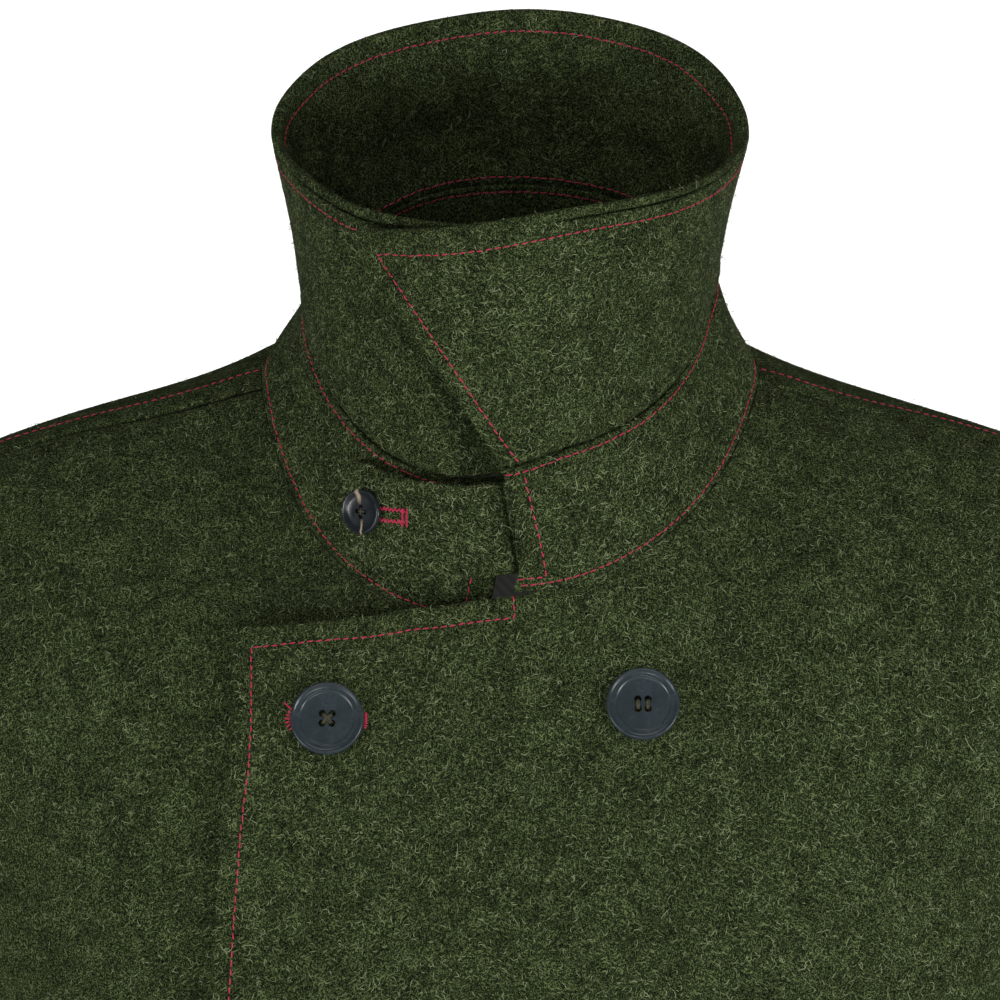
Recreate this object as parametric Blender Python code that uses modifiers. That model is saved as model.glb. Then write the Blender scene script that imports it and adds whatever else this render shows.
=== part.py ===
"""Double-breasted loden jacket with a turned-up stand collar and a throat tab.

Filled out as if worn, with nobody in it. Metres, +Z up, front at -Y, +X the wearer's left.
The origin is between the shoulders at the height of the shoulder end of the neck seam.
"""
import math

import bmesh
import bpy
import numpy as np
from mathutils import Matrix, Vector

MM = 0.001

# Cloth, in metres
CLOTH = 2.6 * MM
COLLAR_PLY = 2.1 * MM
LINING = 1.2 * MM
GAP = 0.3 * MM
LAP_GAP = 1.0 * MM

# Sections from the hem to the neck seam, then of the stand and the leaf, in millimetres. The front
# of a section lies front_drop below its sides, its back lies back_rise above them and is moved
# back_skew to the wearer's left.
SECTION_COLUMNS = ("up", "height", "half_width", "front", "back", "centre", "front_drop",
                   "drop_power", "back_rise", "rise_power", "back_skew", "square")
BODY = (
    (0, -700, 240, 162, 150, 4, 0, 1.5, 0, 2.2, 0, 2.35),
    (150, -550, 233, 158, 147, 4, 0, 1.5, 0, 2.2, 0, 2.35),
    (280, -420, 218, 149, 129, 2, 0, 1.5, 0, 2.2, 0, 2.30),
    (450, -252, 210, 150, 128, 0, 4, 1.5, 0, 2.2, 0, 2.40),
    (515, -190, 226, 141.5, 125, 0, 21, 1.5, 0, 2.2, 0, 2.45),
    (578, -130, 238, 131, 121, 0, 44, 1.5, 0, 2.2, 0, 2.45),
    (620, -89, 243, 122, 116, 0, 60, 1.5, 0, 2.2, 0, 2.40),
    (655, -54.8, 240, 115.5, 111, 0, 76.2, 1.5, -4, 2.2, 0, 2.30),
    (678, -39.7, 226, 111.5, 107, 0, 81.3, 1.5, -1, 2.2, 0, 2.22),
    (705, -28.3, 200, 107, 102, 0, 81.7, 1.5, 4.5, 2.2, 0, 2.15),
    (737, -18.6, 168, 101, 94, 0, 77.4, 1.5, 11.5, 2.2, 0, 2.08),
    (776, -9.5, 130, 94, 84, 0, 71.5, 1.5, 18, 1.7, 0, 2.03),
    (805, 0, 98, 88, 72, 0, 70, 1.5, 22, 1.15, 0, 2.00),
)
STAND = (
    (0, 0, 98, 88, 72, 0, 70, 1.50, 22, 1.15, 0, 2.00),
    (22, 21, 86.4, 84, 70, -2, 64.5, 1.40, 26, 1.15, 1, 2.00),
    (45, 38, 80.6, 81, 69, -4, 56, 1.28, 28, 1.15, 2, 2.00),
)
LEAF = (
    (0, 38, 80.6, 81, 69, -4, 56, 1.28, 28, 1.15, 2, 2.00),
    (35, 66, 85.5, 87, 73, -6, 37, 1.25, 35, 1.15, 4, 2.00),
    (70, 94, 93, 96, 78, -8, 16, 1.20, 42, 1.15, 7, 2.00),
)

# The wearer's right side of the collar sits lower, by so much at the neck seam and at the stand's
# top: most at RIGHT_SAG_ANGLE, gone at the rim. It reaches further to the back at the stand's top.
# The lapping left end hangs a little lower at the stand's top.
RIGHT_SAG = (20.0, 17.0)
RIGHT_SAG_ANGLE = 315.0
RIGHT_SAG_FRONT = 100.0
RIGHT_SAG_BACK = (50.0, 120.0)
LEFT_DROOP = 5 * MM
LEFT_DROOP_FADE = (-4.0, 16.0)
SAG_START = 680.0

# Body stations, in the up column of BODY
UP_HEM = 0.0
UP_ARMPIT = 450.0
UP_TIP = 678.0
UP_NECK = 805.0

# Seams, as angles round the body from the front centre towards the wearer's left, in degrees
SIDE_SEAM = 94.0
SHOULDER_SEAM = 85.0
NECK_POINT = 84.0
ARMHOLE_FRONT = 24.0
ARMHOLE_BACK = 28.0

# Each front laps past the centre: its edge from hem to corner, and its top edge from the corner
# to the neck, as (up, how far past the centre) and (how far past the centre, up), in millimetres
LAP_EDGE = ((0, 121.0), (300, 117.0), (491, 112.7), (574, 109.5), (660, 105.8), (718, 104.8))
LAP_TOP = ((-10, 805), (0, 802), (11.7, 797), (36.4, 778.5), (52.6, 761.5), (77.5, 741.3),
           (100, 723), (104.8, 718))
LAP_ROWS_FROM = 600.0
LAP_FADE = (32.0, 76.0)

# Folds that the hanging cloth makes, moved out or in from the plain form, in millimetres.
# angle and up are the fold's middle, lean turns it, height is how far it stands out.
FOLD_COLUMNS = ("angle", "up", "half_width", "half_length", "lean", "height")
BODY_FOLDS = (
    (58, 90, 13, 240, -6, 6.0),
    (118, 80, 14, 250, 5, 6.5),
    (156, 130, 15, 260, -4, 5.0),
    (201, 90, 14, 230, 4, 6.0),
    (243, 110, 15, 270, -6, 6.0),
    (298, 80, 12, 230, 6, 5.5),
)

# Sleeve sections from below the armpit to the cuff, in millimetres, for the wearer's left
ARM_COLUMNS = ("along", "x", "y", "z", "across", "depth")
ARM = (
    (0, 282, 2, -300, 61, 80),
    (110, 305, 0, -408, 58, 73),
    (215, 326, -8, -510, 54, 65),
    (340, 350, -29, -632, 50, 58),
)
ARM_DIRECTION = Vector((0.205, -0.01, -0.979))
CAP_PULL_START = (175.0, 60.0, 34.0)
CAP_PULL_END = (220.0, 150.0)
SLEEVE_SEAM = 108.0
SLEEVE_FOLDS = (
    (95, 95, 34, 26, 40, -4.5),
    (70, 150, 42, 22, -30, 4.0),
    (120, 205, 40, 24, 25, -4.0),
    (250, 130, 36, 26, -35, 3.5),
    (300, 215, 40, 24, 30, -3.5),
    (60, 285, 40, 26, -25, 3.0),
)

# The stand: where its ends lie, at the neck seam and at the top, and how far the left end stands off
STAND_LEFT_END = (4.2, -2.0)
STAND_FOOT_ANGLE = 0.6
STAND_FOOT_SHARE = 0.25
STAND_RIGHT_END = (354.7, 361.0)
STAND_OFF = 6.0 * MM
END_LIFT = 2.6 * MM
END_LIFT_FADE = (-5.0, 38.0)

# The leaf: its ends slant past each other, and its top edge falls towards the corners
LEAF_LEFT_END = -38.0
LEAF_RIGHT_END = 394.0
LEAF_LEFT_FALL = 10.5
LEAF_RIGHT_FALL = 5.0

# The throat tab: rows of angle, bottom and top in the stand's stations, from its sewn end to its
# round end, and how far off the stand it lies
TAB_COLUMNS = ("angle", "bottom", "top", "out", "lift")
TAB = (
    (376, 13.6, 42.0, 0.2, 0.00),
    (366, 13.4, 43.4, 1.9, 0.00),
    (361, 13.4, 44.0, 3.45, 0.00),
    (357.5, 13.6, 44.2, 3.6, 0.00),
    (353, 13.9, 44.2, 4.0, 0.25),
    (347, 14.1, 44.0, 4.1, 0.45),
    (340, 13.3, 43.4, 4.1, 0.45),
    (330, 9.5, 41.7, 4.1, 0.45),
    (323, 6.8, 40.2, 4.1, 0.45),
    (317, 7.4, 37.0, 4.2, 0.45),
    (313.5, 13.3, 31.1, 4.3, 0.45),
)
TAB_THICK = 3.2 * MM
TAB_LIFT_FROM = 35.0

# The lining that shows inside: a yoke under the back neck, on these columns and rows of the back
YOKE_COLUMNS = (4, 12)
YOKE_ROWS = (10, 18)

# Buttons: places as (x, z) in millimetres on the left front, and profiles as (radius, height)
BUTTON_PLACES = ((-68.6, -116.3), (49.5, -111.0), (-72.5, -246.0), (47.5, -243.0),
                 (-75.0, -375.0), (46.0, -373.0), (-77.0, -503.0), (45.0, -502.0))
BUTTON_PROFILE = ((0, 3.0), (10.4, 3.0), (12.9, 4.2), (13.9, 3.4), (13.9, 1.4), (12.4, 0), (0, 0))
BUTTON_HOLE = 1.35 * MM
BUTTON_HOLE_OFFSET = 1.9 * MM
TAB_BUTTON_PLACE = (323.1, 24.2)
TAB_BUTTON_PROFILE = ((0, 2.0), (6.1, 2.0), (7.9, 2.9), (8.7, 2.3), (8.7, 1.0), (7.6, 0), (0, 0))
TAB_BUTTON_HOLE = 0.9 * MM
TAB_BUTTON_HOLE_OFFSET = 1.25 * MM
BUTTON_STEPS = 16
HOLE_SIDES = 6

# Rows and columns of the cloth grids
ROWS_SKIRT = 5
ROWS_ARMHOLE = 10
ROWS_SHOULDER = 4
COLUMNS_LAP = 6
COLUMNS_FRONT = 12
COLUMNS_BACK = 16
LEAF_END_ANGLE = 38.0
ROWS_STAND = 2
ROWS_LEAF = 3
ROWS_CAP = 6
ROWS_ARM = 8
ROWS_TAB = 4

# Colours, sRGB
LODEN = "#34402a"
LINING_GREY = "#6d6d66"
BUTTON_SLATE = "#4a555a"
BUTTON_HORN = "#575350"


def table_values(table, station):
    """Every column of a table at a station, by a smooth curve that never overshoots a row."""
    rows = np.array(table, dtype=float)
    up, values = rows[:, 0], rows[:, 1:]
    step = np.diff(up)[:, None]
    slope = np.diff(values, axis=0) / step
    tangent = np.zeros_like(values)
    tangent[0], tangent[-1] = slope[0], slope[-1]
    both = slope[:-1] * slope[1:]
    total = np.where(both > 0, slope[:-1] + slope[1:], 1.0)
    tangent[1:-1] = np.where(both > 0, 2.0 * both / total, 0.0)
    index = int(np.clip(np.searchsorted(up, station) - 1, 0, len(up) - 2))
    reach = up[index + 1] - up[index]
    t = (station - up[index]) / reach
    return ((1 + 2 * t) * (1 - t) ** 2 * values[index]
            + t * (1 - t) ** 2 * reach * tangent[index]
            + t * t * (3 - 2 * t) * values[index + 1]
            + t * t * (t - 1) * reach * tangent[index + 1])


def smoothstep(low, high, value):
    """0 below low, 1 above high, smooth between."""
    t = min(max((value - low) / (high - low), 0.0), 1.0)
    return t * t * (3 - 2 * t)


def bump(distance, reach):
    """1 at no distance, 0 from reach on, smooth between."""
    return 1.0 - smoothstep(0.0, reach, abs(distance))


def power(value, exponent):
    """A power that keeps the sign of its base."""
    return math.copysign(abs(value) ** exponent, value)


def ring_point(table, angle, station):
    """A point of a section table's surface, in metres."""
    (height, half_width, front, back, centre,
     drop, drop_power, rise, rise_power, skew, square) = table_values(table, station)
    sine = math.sin(math.radians(angle))
    cosine = math.cos(math.radians(angle))
    bend = 2.0 / square
    x = half_width * power(sine, bend)
    if cosine > 0:
        y = centre - front * cosine ** bend
        z = height - drop * cosine ** drop_power
    else:
        y = centre + back * (-cosine) ** bend
        z = height + rise * (-cosine) ** rise_power
        x += skew * cosine * cosine
    return Vector((x, y, z)) * MM


def curve_value(rows, at):
    """A value between the rows of a short two-column table, straight from row to row."""
    return float(np.interp(at, [row[0] for row in rows], [row[1] for row in rows]))


def fold_height(folds, angle, along, scale):
    """How far the folds of a table move the cloth out at a place, in metres."""
    total = 0.0
    for middle, up, half_width, half_length, lean, height in folds:
        off = along - up
        across = (angle - middle + 180.0) % 360.0 - 180.0 - lean * off * scale
        total += height * bump(across, half_width) * bump(off, half_length)
    return total * MM


def right_sag(angle, rise):
    """How far the right side of the collar hangs lower; rise is 0 at the neck seam, 1 at the stand's top."""
    low, high = RIGHT_SAG_BACK
    off = angle - RIGHT_SAG_ANGLE
    reach = RIGHT_SAG_FRONT if off > 0 else low + (high - low) * rise
    neck, top = RIGHT_SAG
    return (neck + (top - neck) * rise) * MM * bump(off, reach)


def left_droop(angle):
    """How far the left end of the seam between stand and leaf hangs lower."""
    return LEFT_DROOP * (1.0 - smoothstep(*LEFT_DROOP_FADE, angle))


def normal_of(surface, across, along, small=0.05):
    """The outward normal of surface(across, along)."""
    ahead = surface(across + small, along) - surface(across - small, along)
    above = surface(across, along + small) - surface(across, along - small)
    return ahead.cross(above).normalized()


def level_of(surface, across, along, small=0.5):
    """The outward normal of a section in its own level."""
    ahead = surface(across + small, along) - surface(across - small, along)
    return Vector((ahead.y, -ahead.x, 0.0)).normalized()


def body_surface(angle, up):
    """The body with the folds of its skirt and the sag of its right neck."""
    point = ring_point(BODY, angle, up)
    fold = fold_height(BODY_FOLDS, angle, up, 0.01)
    sine, cosine = math.sin(math.radians(angle)), math.cos(math.radians(angle))
    sag = right_sag(angle, 0.0) * smoothstep(SAG_START, UP_NECK, up)
    return point + Vector((sine, -cosine, 0.0)) * fold - Vector((0.0, 0.0, sag))


def over_surface(angle, up):
    """The left front's form: the body without the sag of its right neck, which it covers."""
    point = ring_point(BODY, angle, up)
    fold = fold_height(BODY_FOLDS, angle, up, 0.01)
    sine, cosine = math.sin(math.radians(angle)), math.cos(math.radians(angle))
    return point + Vector((sine, -cosine, 0.0)) * fold


def body_point(angle, up, depth):
    """A point of the body at a depth below its outer face."""
    return body_surface(angle, up) - normal_of(body_surface, angle, up) * depth


def end_off(angle):
    """How far the collar's left end, and the front under it, stand off the right end."""
    return (STAND_OFF * (1.0 - smoothstep(*LAP_FADE, angle))
            + END_LIFT * (1.0 - smoothstep(*END_LIFT_FADE, angle)))


def over_point(angle, up, depth):
    """A point of the left front, which stands off the right one where it laps over it."""
    stand_off = (CLOTH + LAP_GAP) * (1.0 - smoothstep(*LAP_FADE, angle))
    stand_off += (end_off(angle) - stand_off) * smoothstep(740.0, UP_NECK, up)
    return (over_surface(angle, up) + level_of(over_surface, angle, up) * stand_off
            - normal_of(over_surface, angle, up) * depth)


def collar_surface(table, angle, station):
    """The stand's or the leaf's outer face, with its right side lower."""
    share = station / table[-1][0]
    if table is STAND:
        sag = right_sag(angle, share) + left_droop(angle) * share
    else:
        sag = (right_sag(angle, 1.0) + left_droop(angle)) * (1.0 - share)
    return ring_point(table, angle, station) - Vector((0.0, 0.0, sag))


def collar_point(table, angle, station, depth):
    """A point of the stand or the leaf at a depth, measured level so that its plies meet at seams."""
    level = level_of(lambda a, s: ring_point(table, a, s), angle, station)
    return collar_surface(table, angle, station) + level * (end_off(angle) - depth)


def armhole_axis(up):
    """The angle of the armhole's middle line at a height."""
    if up > UP_TIP:
        return SHOULDER_SEAM + (NECK_POINT - SHOULDER_SEAM) * (up - UP_TIP) / (UP_NECK - UP_TIP)
    t = max((up - UP_ARMPIT) / (UP_TIP - UP_ARMPIT), 0.0)
    return SIDE_SEAM + (SHOULDER_SEAM - SIDE_SEAM) * t


def armhole_width(up):
    """How wide the armhole is at a height, from 0 to 1."""
    middle = (UP_TIP + UP_ARMPIT) / 2
    half = (UP_TIP - UP_ARMPIT) / 2
    c = (up - middle) / half
    return math.sqrt(1.0 - c * c) if abs(c) < 1.0 else 0.0


def front_edge(up):
    """The angle where a front ends at the side seam, the armhole or the shoulder seam."""
    return armhole_axis(up) - ARMHOLE_FRONT * armhole_width(up)


def back_edge(up):
    """The angle where the back starts."""
    return armhole_axis(up) + ARMHOLE_BACK * armhole_width(up)


def body_rows():
    """Stations of the body's rows from hem to neck, close together at the ends of the armhole."""
    middle = (UP_TIP + UP_ARMPIT) / 2
    half = (UP_TIP - UP_ARMPIT) / 2
    skirt = [UP_ARMPIT * k / ROWS_SKIRT for k in range(ROWS_SKIRT)]
    armhole = [middle - half * math.cos(math.pi * k / ROWS_ARMHOLE) for k in range(ROWS_ARMHOLE)]
    shoulder = [UP_TIP + (UP_NECK - UP_TIP) * k / ROWS_SHOULDER for k in range(ROWS_SHOULDER + 1)]
    return skirt + armhole + shoulder


def angle_at(x, up):
    """The angle at which the body's section at a station has the sideways place x, in millimetres."""
    values = table_values(BODY, up)
    half_width, square = values[1], values[-1]
    return math.degrees(math.asin(power(min(max(x / half_width, -1.0), 1.0), square / 2.0)))


def front_place(columns_lap, columns_front):
    """The grid of a front: from (across, along) from 0 to 1 to (angle, up), for the left front."""
    rows = body_rows()
    columns = columns_lap + columns_front

    def place(across, along):
        base = rows[round(along * (len(rows) - 1))]
        column = round(across * columns)
        if column <= columns_lap:
            x = -curve_value(LAP_EDGE, base) * (1.0 - column / columns_lap)
            top = curve_value(LAP_TOP, -x)
        else:
            x = 0.0
            top = UP_NECK
        up = base
        if base > LAP_ROWS_FROM:
            squeeze = (top - LAP_ROWS_FROM) / (UP_NECK - LAP_ROWS_FROM)
            up = LAP_ROWS_FROM + (base - LAP_ROWS_FROM) * squeeze
        if column <= columns_lap:
            return angle_at(x, up), up
        share = (column - columns_lap) / columns_front
        return (front_edge(up) - seam_angle(up)) * share, up

    return place


def seam_angle(up):
    """Half a seam's gap as an angle on the body at a station."""
    return math.degrees(GAP / 2 / (table_values(BODY, up)[1] * MM))


def back_grid(across, up):
    """The grid of the back, from one side seam to the other."""
    start = back_edge(up) + seam_angle(up)
    return start + (360.0 - 2 * start) * across, up


def armhole_point(psi):
    """A point of the left armhole: psi 0 at the shoulder, 90 in front, 180 at the armpit."""
    middle = (UP_TIP + UP_ARMPIT) / 2
    half = (UP_TIP - UP_ARMPIT) / 2
    up = middle + half * math.cos(math.radians(psi))
    sine = math.sin(math.radians(psi))
    reach = ARMHOLE_FRONT if sine > 0 else ARMHOLE_BACK
    return armhole_axis(up) - reach * sine, up


def arm_ring(psi, along):
    """A point of the sleeve below the armpit."""
    x, y, z, across, depth = table_values(ARM, along)
    before = Vector(table_values(ARM, along - 4.0)[:3])
    after = Vector(table_values(ARM, along + 4.0)[:3])
    direction = (after - before).normalized()
    forward = (Vector((0.0, -1.0, 0.0)) - direction * -direction.y).normalized()
    outward = forward.cross(direction)
    out = (outward * math.cos(math.radians(psi)) * across
           + forward * math.sin(math.radians(psi)) * depth)
    fold = fold_height(SLEEVE_FOLDS, psi, along, 0.01) * smoothstep(20.0, 80.0, along)
    return (Vector((x, y, z)) + out) * MM + out.normalized() * fold


def cap_pull(psi):
    """How strongly the sleeve's head leaves the armhole, in millimetres."""
    top, side, low = CAP_PULL_START
    turn = math.cos(math.radians(psi))
    return side + (top - side) * max(turn, 0.0) + (low - side) * max(-turn, 0.0)


def sleeve_surface(psi, reach):
    """The left sleeve: reach 0 to 1 from the armhole to the first section, 1 to 2 on to the cuff."""
    if reach > 1.0:
        return arm_ring(psi, (reach - 1.0) * ARM[-1][0])
    start_angle, start_up = armhole_point(psi)
    start = over_surface(start_angle, start_up)
    normal = normal_of(over_surface, start_angle, start_up)
    chord = over_surface(*armhole_point(psi + 1.0)) - over_surface(*armhole_point(psi - 1.0))
    inward = normal.cross(chord).normalized()
    turn = math.cos(math.radians(psi))
    pull = cap_pull(psi)
    pull_end = CAP_PULL_END[1] + (CAP_PULL_END[0] - CAP_PULL_END[1]) * max(turn, 0.0)
    end = arm_ring(psi, 0.0)
    t = reach
    return ((1 + 2 * t) * (1 - t) ** 2 * start + t * (1 - t) ** 2 * pull * MM * inward
            + t * t * (3 - 2 * t) * end + t * t * (t - 1) * pull_end * MM * ARM_DIRECTION)


def sleeve_point(psi, reach, depth):
    """A point of the left sleeve at a depth below its outer face."""
    small = 0.004
    ahead = sleeve_surface(psi + 0.4, reach) - sleeve_surface(psi - 0.4, reach)
    above = sleeve_surface(psi, reach + small) - sleeve_surface(psi, max(reach - small, 0.0))
    return sleeve_surface(psi, reach) - ahead.cross(above).normalized() * depth


def sleeve_reach(psi, along):
    """Where a sleeve row lies: close rows at the armhole, a seam's gap off it."""
    row = along * (ROWS_CAP + ROWS_ARM)
    if row <= ROWS_CAP:
        return max((row / ROWS_CAP) ** 1.5, GAP / (cap_pull(psi) * MM))
    return 1.0 + (row - ROWS_CAP) / ROWS_ARM


def linear(hex_colour):
    """A linear colour from an sRGB one."""
    parts = [int(hex_colour[i:i + 2], 16) / 255.0 for i in (1, 3, 5)]
    return [c / 12.92 if c <= 0.04045 else ((c + 0.055) / 1.055) ** 2.4 for c in parts] + [1.0]


def add_material(target, colour, roughness):
    """A plain material of its own for a piece."""
    material = bpy.data.materials.new(target.name)
    material.use_nodes = True
    shader = material.node_tree.nodes["Principled BSDF"]
    shader.inputs["Base Color"].default_value = linear(colour)
    shader.inputs["Roughness"].default_value = roughness
    target.data.materials.append(material)


def add_object(name, mesh, collection, colour, roughness):
    """A named, smooth-shaded object in a collection."""
    target = bpy.data.objects.new(name, mesh)
    collection.objects.link(target)
    for face in mesh.polygons:
        face.use_smooth = True
    add_material(target, colour, roughness)
    return target


def cloth_wall(name, columns, rows, thickness, place, collection, colour=LODEN):
    """A wall of cloth: a grid thickened by an extrusion, each corner put where place says."""
    bm = bmesh.new()
    bmesh.ops.create_grid(bm, x_segments=columns, y_segments=rows, size=0.5)
    grown = bmesh.ops.extrude_face_region(bm, geom=list(bm.faces), use_keep_orig=True)
    inner = {item for item in grown["geom"] if isinstance(item, bmesh.types.BMVert)}
    for vert in bm.verts:
        depth = thickness if vert in inner else 0.0
        vert.co = place(vert.co.x + 0.5, vert.co.y + 0.5, depth)
    bmesh.ops.recalc_face_normals(bm, faces=list(bm.faces))
    if bm.calc_volume(signed=True) < 0.0:
        bmesh.ops.reverse_faces(bm, faces=list(bm.faces))
    bmesh.ops.triangulate(bm, faces=list(bm.faces))
    mesh = bpy.data.meshes.new(name)
    bm.to_mesh(mesh)
    bm.free()
    return add_object(name, mesh, collection, colour, 0.9)


def mirrored(point):
    """A point on the other side of the body."""
    return Vector((-point.x, point.y, point.z))


def build_body(parts):
    """Back, left front and right front."""
    rows = body_rows()
    last = len(rows) - 1

    def back_place(across, along, depth):
        return body_point(*back_grid(across, rows[round(along * last)]), depth)

    grid = front_place(COLUMNS_LAP, COLUMNS_FRONT)

    def left_place(across, along, depth):
        return over_point(*grid(across, along), depth)

    def right_place(across, along, depth):
        angle, up = grid(1.0 - across, along)
        return body_point(360.0 - angle, up, depth)

    cloth_wall("back", COLUMNS_BACK, last, CLOTH, back_place, parts)
    left = cloth_wall("front_left", COLUMNS_LAP + COLUMNS_FRONT, last, CLOTH, left_place, parts)
    cloth_wall("front_right", COLUMNS_LAP + COLUMNS_FRONT, last, CLOTH, right_place, parts)
    return left


def build_sleeves(parts):
    """Top and under sleeves, left and right."""
    step = 180.0 / ROWS_ARMHOLE
    spans = {"top_sleeve": (-SLEEVE_SEAM, SLEEVE_SEAM),
             "under_sleeve": (SLEEVE_SEAM, 360.0 - SLEEVE_SEAM)}
    for name, (low, high) in spans.items():
        columns = round((high - low) / step)
        seam = math.degrees(GAP / 2 / (ARM[0][4] * MM))

        def place(across, along, depth, low=low + seam, high=high - seam):
            psi = low + (high - low) * across
            return sleeve_point(psi, sleeve_reach(psi, along), depth)

        def place_right(across, along, depth, place=place):
            return mirrored(place(across, along, depth))

        cloth_wall(name + "_left", columns, ROWS_CAP + ROWS_ARM, CLOTH, place, parts)
        cloth_wall(name + "_right", columns, ROWS_CAP + ROWS_ARM, CLOTH, place_right, parts)


def neck_angles():
    """The angles of the body's own columns along the neck seam, from the front to the front."""
    front = [NECK_POINT * k / COLUMNS_FRONT for k in range(1, COLUMNS_FRONT + 1)]
    back = [NECK_POINT + (360.0 - 2 * NECK_POINT) * k / COLUMNS_BACK for k in range(1, COLUMNS_BACK)]
    return front + back + [360.0 - angle for angle in reversed(front)]


def end_at(ends, along):
    """The angle of a collar end between its bottom and its top."""
    return ends[0] + (ends[1] - ends[0]) * along


def left_end_at(along):
    """The angle of the stand's left end, which turns back to a foot at the neck seam."""
    foot_top = end_at(STAND_LEFT_END, STAND_FOOT_SHARE)
    return np.interp(along, (0.0, STAND_FOOT_SHARE, 1.0), (STAND_FOOT_ANGLE, foot_top, STAND_LEFT_END[1]))


def build_collar(parts):
    """Stand and leaf, each an outer and an inner ply, on the columns of the neck seam."""
    low, high = GAP / MM, STAND[-1][0] - GAP / 2 / MM
    middle = [angle for angle in neck_angles() if angle < STAND_RIGHT_END[1] - 1.0]
    columns = len(middle) + 1
    ends = sum(angle < LEAF_END_ANGLE for angle in middle) + 1

    def stand_angles(along):
        return [left_end_at(along)] + middle + [end_at(STAND_RIGHT_END, along)]

    def stand_place(across, along, depth):
        angle = stand_angles(along)[round(across * columns)]
        return collar_point(STAND, angle, low + (high - low) * along, depth)

    def leaf_place(across, along, depth):
        bottom = stand_angles(1.0)
        top = list(bottom)
        top[:ends + 1] = np.linspace(LEAF_LEFT_END, bottom[ends], ends + 1)
        top[-ends - 1:] = np.linspace(bottom[-ends - 1], LEAF_RIGHT_END, ends + 1)
        column = round(across * columns)
        angle = bottom[column] + (top[column] - bottom[column]) * along
        edge = (LEAF[-1][0] - LEAF_LEFT_FALL * (1.0 - smoothstep(-48.0, 22.0, angle))
                - LEAF_RIGHT_FALL * smoothstep(280.0, 325.0, angle))
        start = GAP / 2 / MM
        return collar_point(LEAF, angle, start + (edge - start) * along, depth)

    inner = COLLAR_PLY + GAP
    for ply, place, rows in (("stand", stand_place, ROWS_STAND), ("leaf", leaf_place, ROWS_LEAF)):
        cloth_wall(ply + "_outer", columns, rows, COLLAR_PLY, place, parts)
        cloth_wall(ply + "_inner", columns, rows, COLLAR_PLY,
                   lambda across, along, depth, place=place: place(across, along, depth + inner), parts)


def tab_place(across, along, depth):
    """A point of the throat tab, straight from bottom to top, from its sewn end to its round end."""
    row = across * (len(TAB) - 1)
    angle, bottom, top, out, lift = [np.interp(row, range(len(TAB)), column) for column in zip(*TAB)]
    edges = []
    for station in (bottom, top):
        level = level_of(lambda a, s: ring_point(STAND, a, s), angle, station)
        off = out + lift * max(station - TAB_LIFT_FROM, 0.0)
        edges.append(collar_surface(STAND, angle, station) + level * (off * MM - depth))
    return edges[0].lerp(edges[1], along)


def build_tab_and_lining(parts):
    """The throat tab and the yoke lining."""
    tab = cloth_wall("throat_tab", 2 * (len(TAB) - 1), ROWS_TAB, TAB_THICK, tab_place, parts)

    rows = body_rows()[YOKE_ROWS[0]:YOKE_ROWS[1] + 1]
    low, high = [column / COLUMNS_BACK for column in YOKE_COLUMNS]

    def yoke_place(across, along, depth):
        place = back_grid(low + (high - low) * across, rows[round(along * (len(rows) - 1))])
        return body_point(*place, CLOTH + 2 * GAP + depth)

    cloth_wall("yoke_lining", YOKE_COLUMNS[1] - YOKE_COLUMNS[0], YOKE_ROWS[1] - YOKE_ROWS[0],
               LINING, yoke_place, parts, LINING_GREY)
    return tab


def hole_cutter(name, radius, offset, turn, collection):
    """Four drills in one object, square round the button's middle."""
    bm = bmesh.new()
    for k in range(4):
        angle = turn + math.pi / 2 * k
        drill = bmesh.ops.create_cone(bm, cap_ends=True, segments=HOLE_SIDES, radius1=radius,
                                      radius2=radius, depth=20 * MM)
        middle = Vector((math.cos(angle), math.sin(angle), 0.0)) * offset * math.sqrt(2.0)
        bmesh.ops.translate(bm, verts=drill["verts"], vec=middle)
    mesh = bpy.data.meshes.new(name)
    bm.to_mesh(mesh)
    bm.free()
    cutter = bpy.data.objects.new(name, mesh)
    collection.objects.link(cutter)
    cutter.hide_render = True
    cutter.display_type = "WIRE"
    return cutter


def button_mesh(name, profile, cutter, collection):
    """A turned button drilled by a cutter, from a profile run from the top to the bottom."""
    mesh = bpy.data.meshes.new(name)
    corners = [(radius * MM, 0.0, height * MM) for radius, height in profile]
    mesh.from_pydata(corners, [(i, i + 1) for i in range(len(corners) - 1)], [])
    blank = bpy.data.objects.new(name, mesh)
    collection.objects.link(blank)
    screw = blank.modifiers.new("Screw", "SCREW")
    screw.steps = BUTTON_STEPS
    screw.render_steps = BUTTON_STEPS
    screw.use_merge_vertices = True
    screw.merge_threshold = 0.00005
    holes = blank.modifiers.new("Holes", "BOOLEAN")
    holes.operation = "DIFFERENCE"
    holes.solver = "EXACT"
    holes.object = cutter
    drilled = bpy.data.meshes.new_from_object(blank.evaluated_get(bpy.context.evaluated_depsgraph_get()))
    bpy.data.objects.remove(blank)
    return drilled


def seat_button(name, drilled, panel, near, colour, parts):
    """A button on the cloth of a panel nearest a point, a small gap off it, upright."""
    _, seat, normal, _ = panel.closest_point_on_mesh(near)
    side = Vector((0.0, 0.0, 1.0)).cross(normal).normalized()
    up = normal.cross(side)
    turn = Matrix((side, up, normal)).transposed().to_4x4()
    mesh = drilled.copy()
    mesh.transform(Matrix.Translation(seat + normal * GAP) @ turn)
    return add_object(name, mesh, parts, colour, 0.35)


def front_point_at(x, z):
    """The point of the left front's outer face with a sideways and an upright place, in millimetres."""
    low, high = UP_HEM, UP_NECK
    for _ in range(40):
        middle = (low + high) / 2
        if over_point(angle_at(x, middle), middle, 0.0).z < z * MM:
            low = middle
        else:
            high = middle
    return over_point(angle_at(x, low), low, 0.0)


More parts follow.
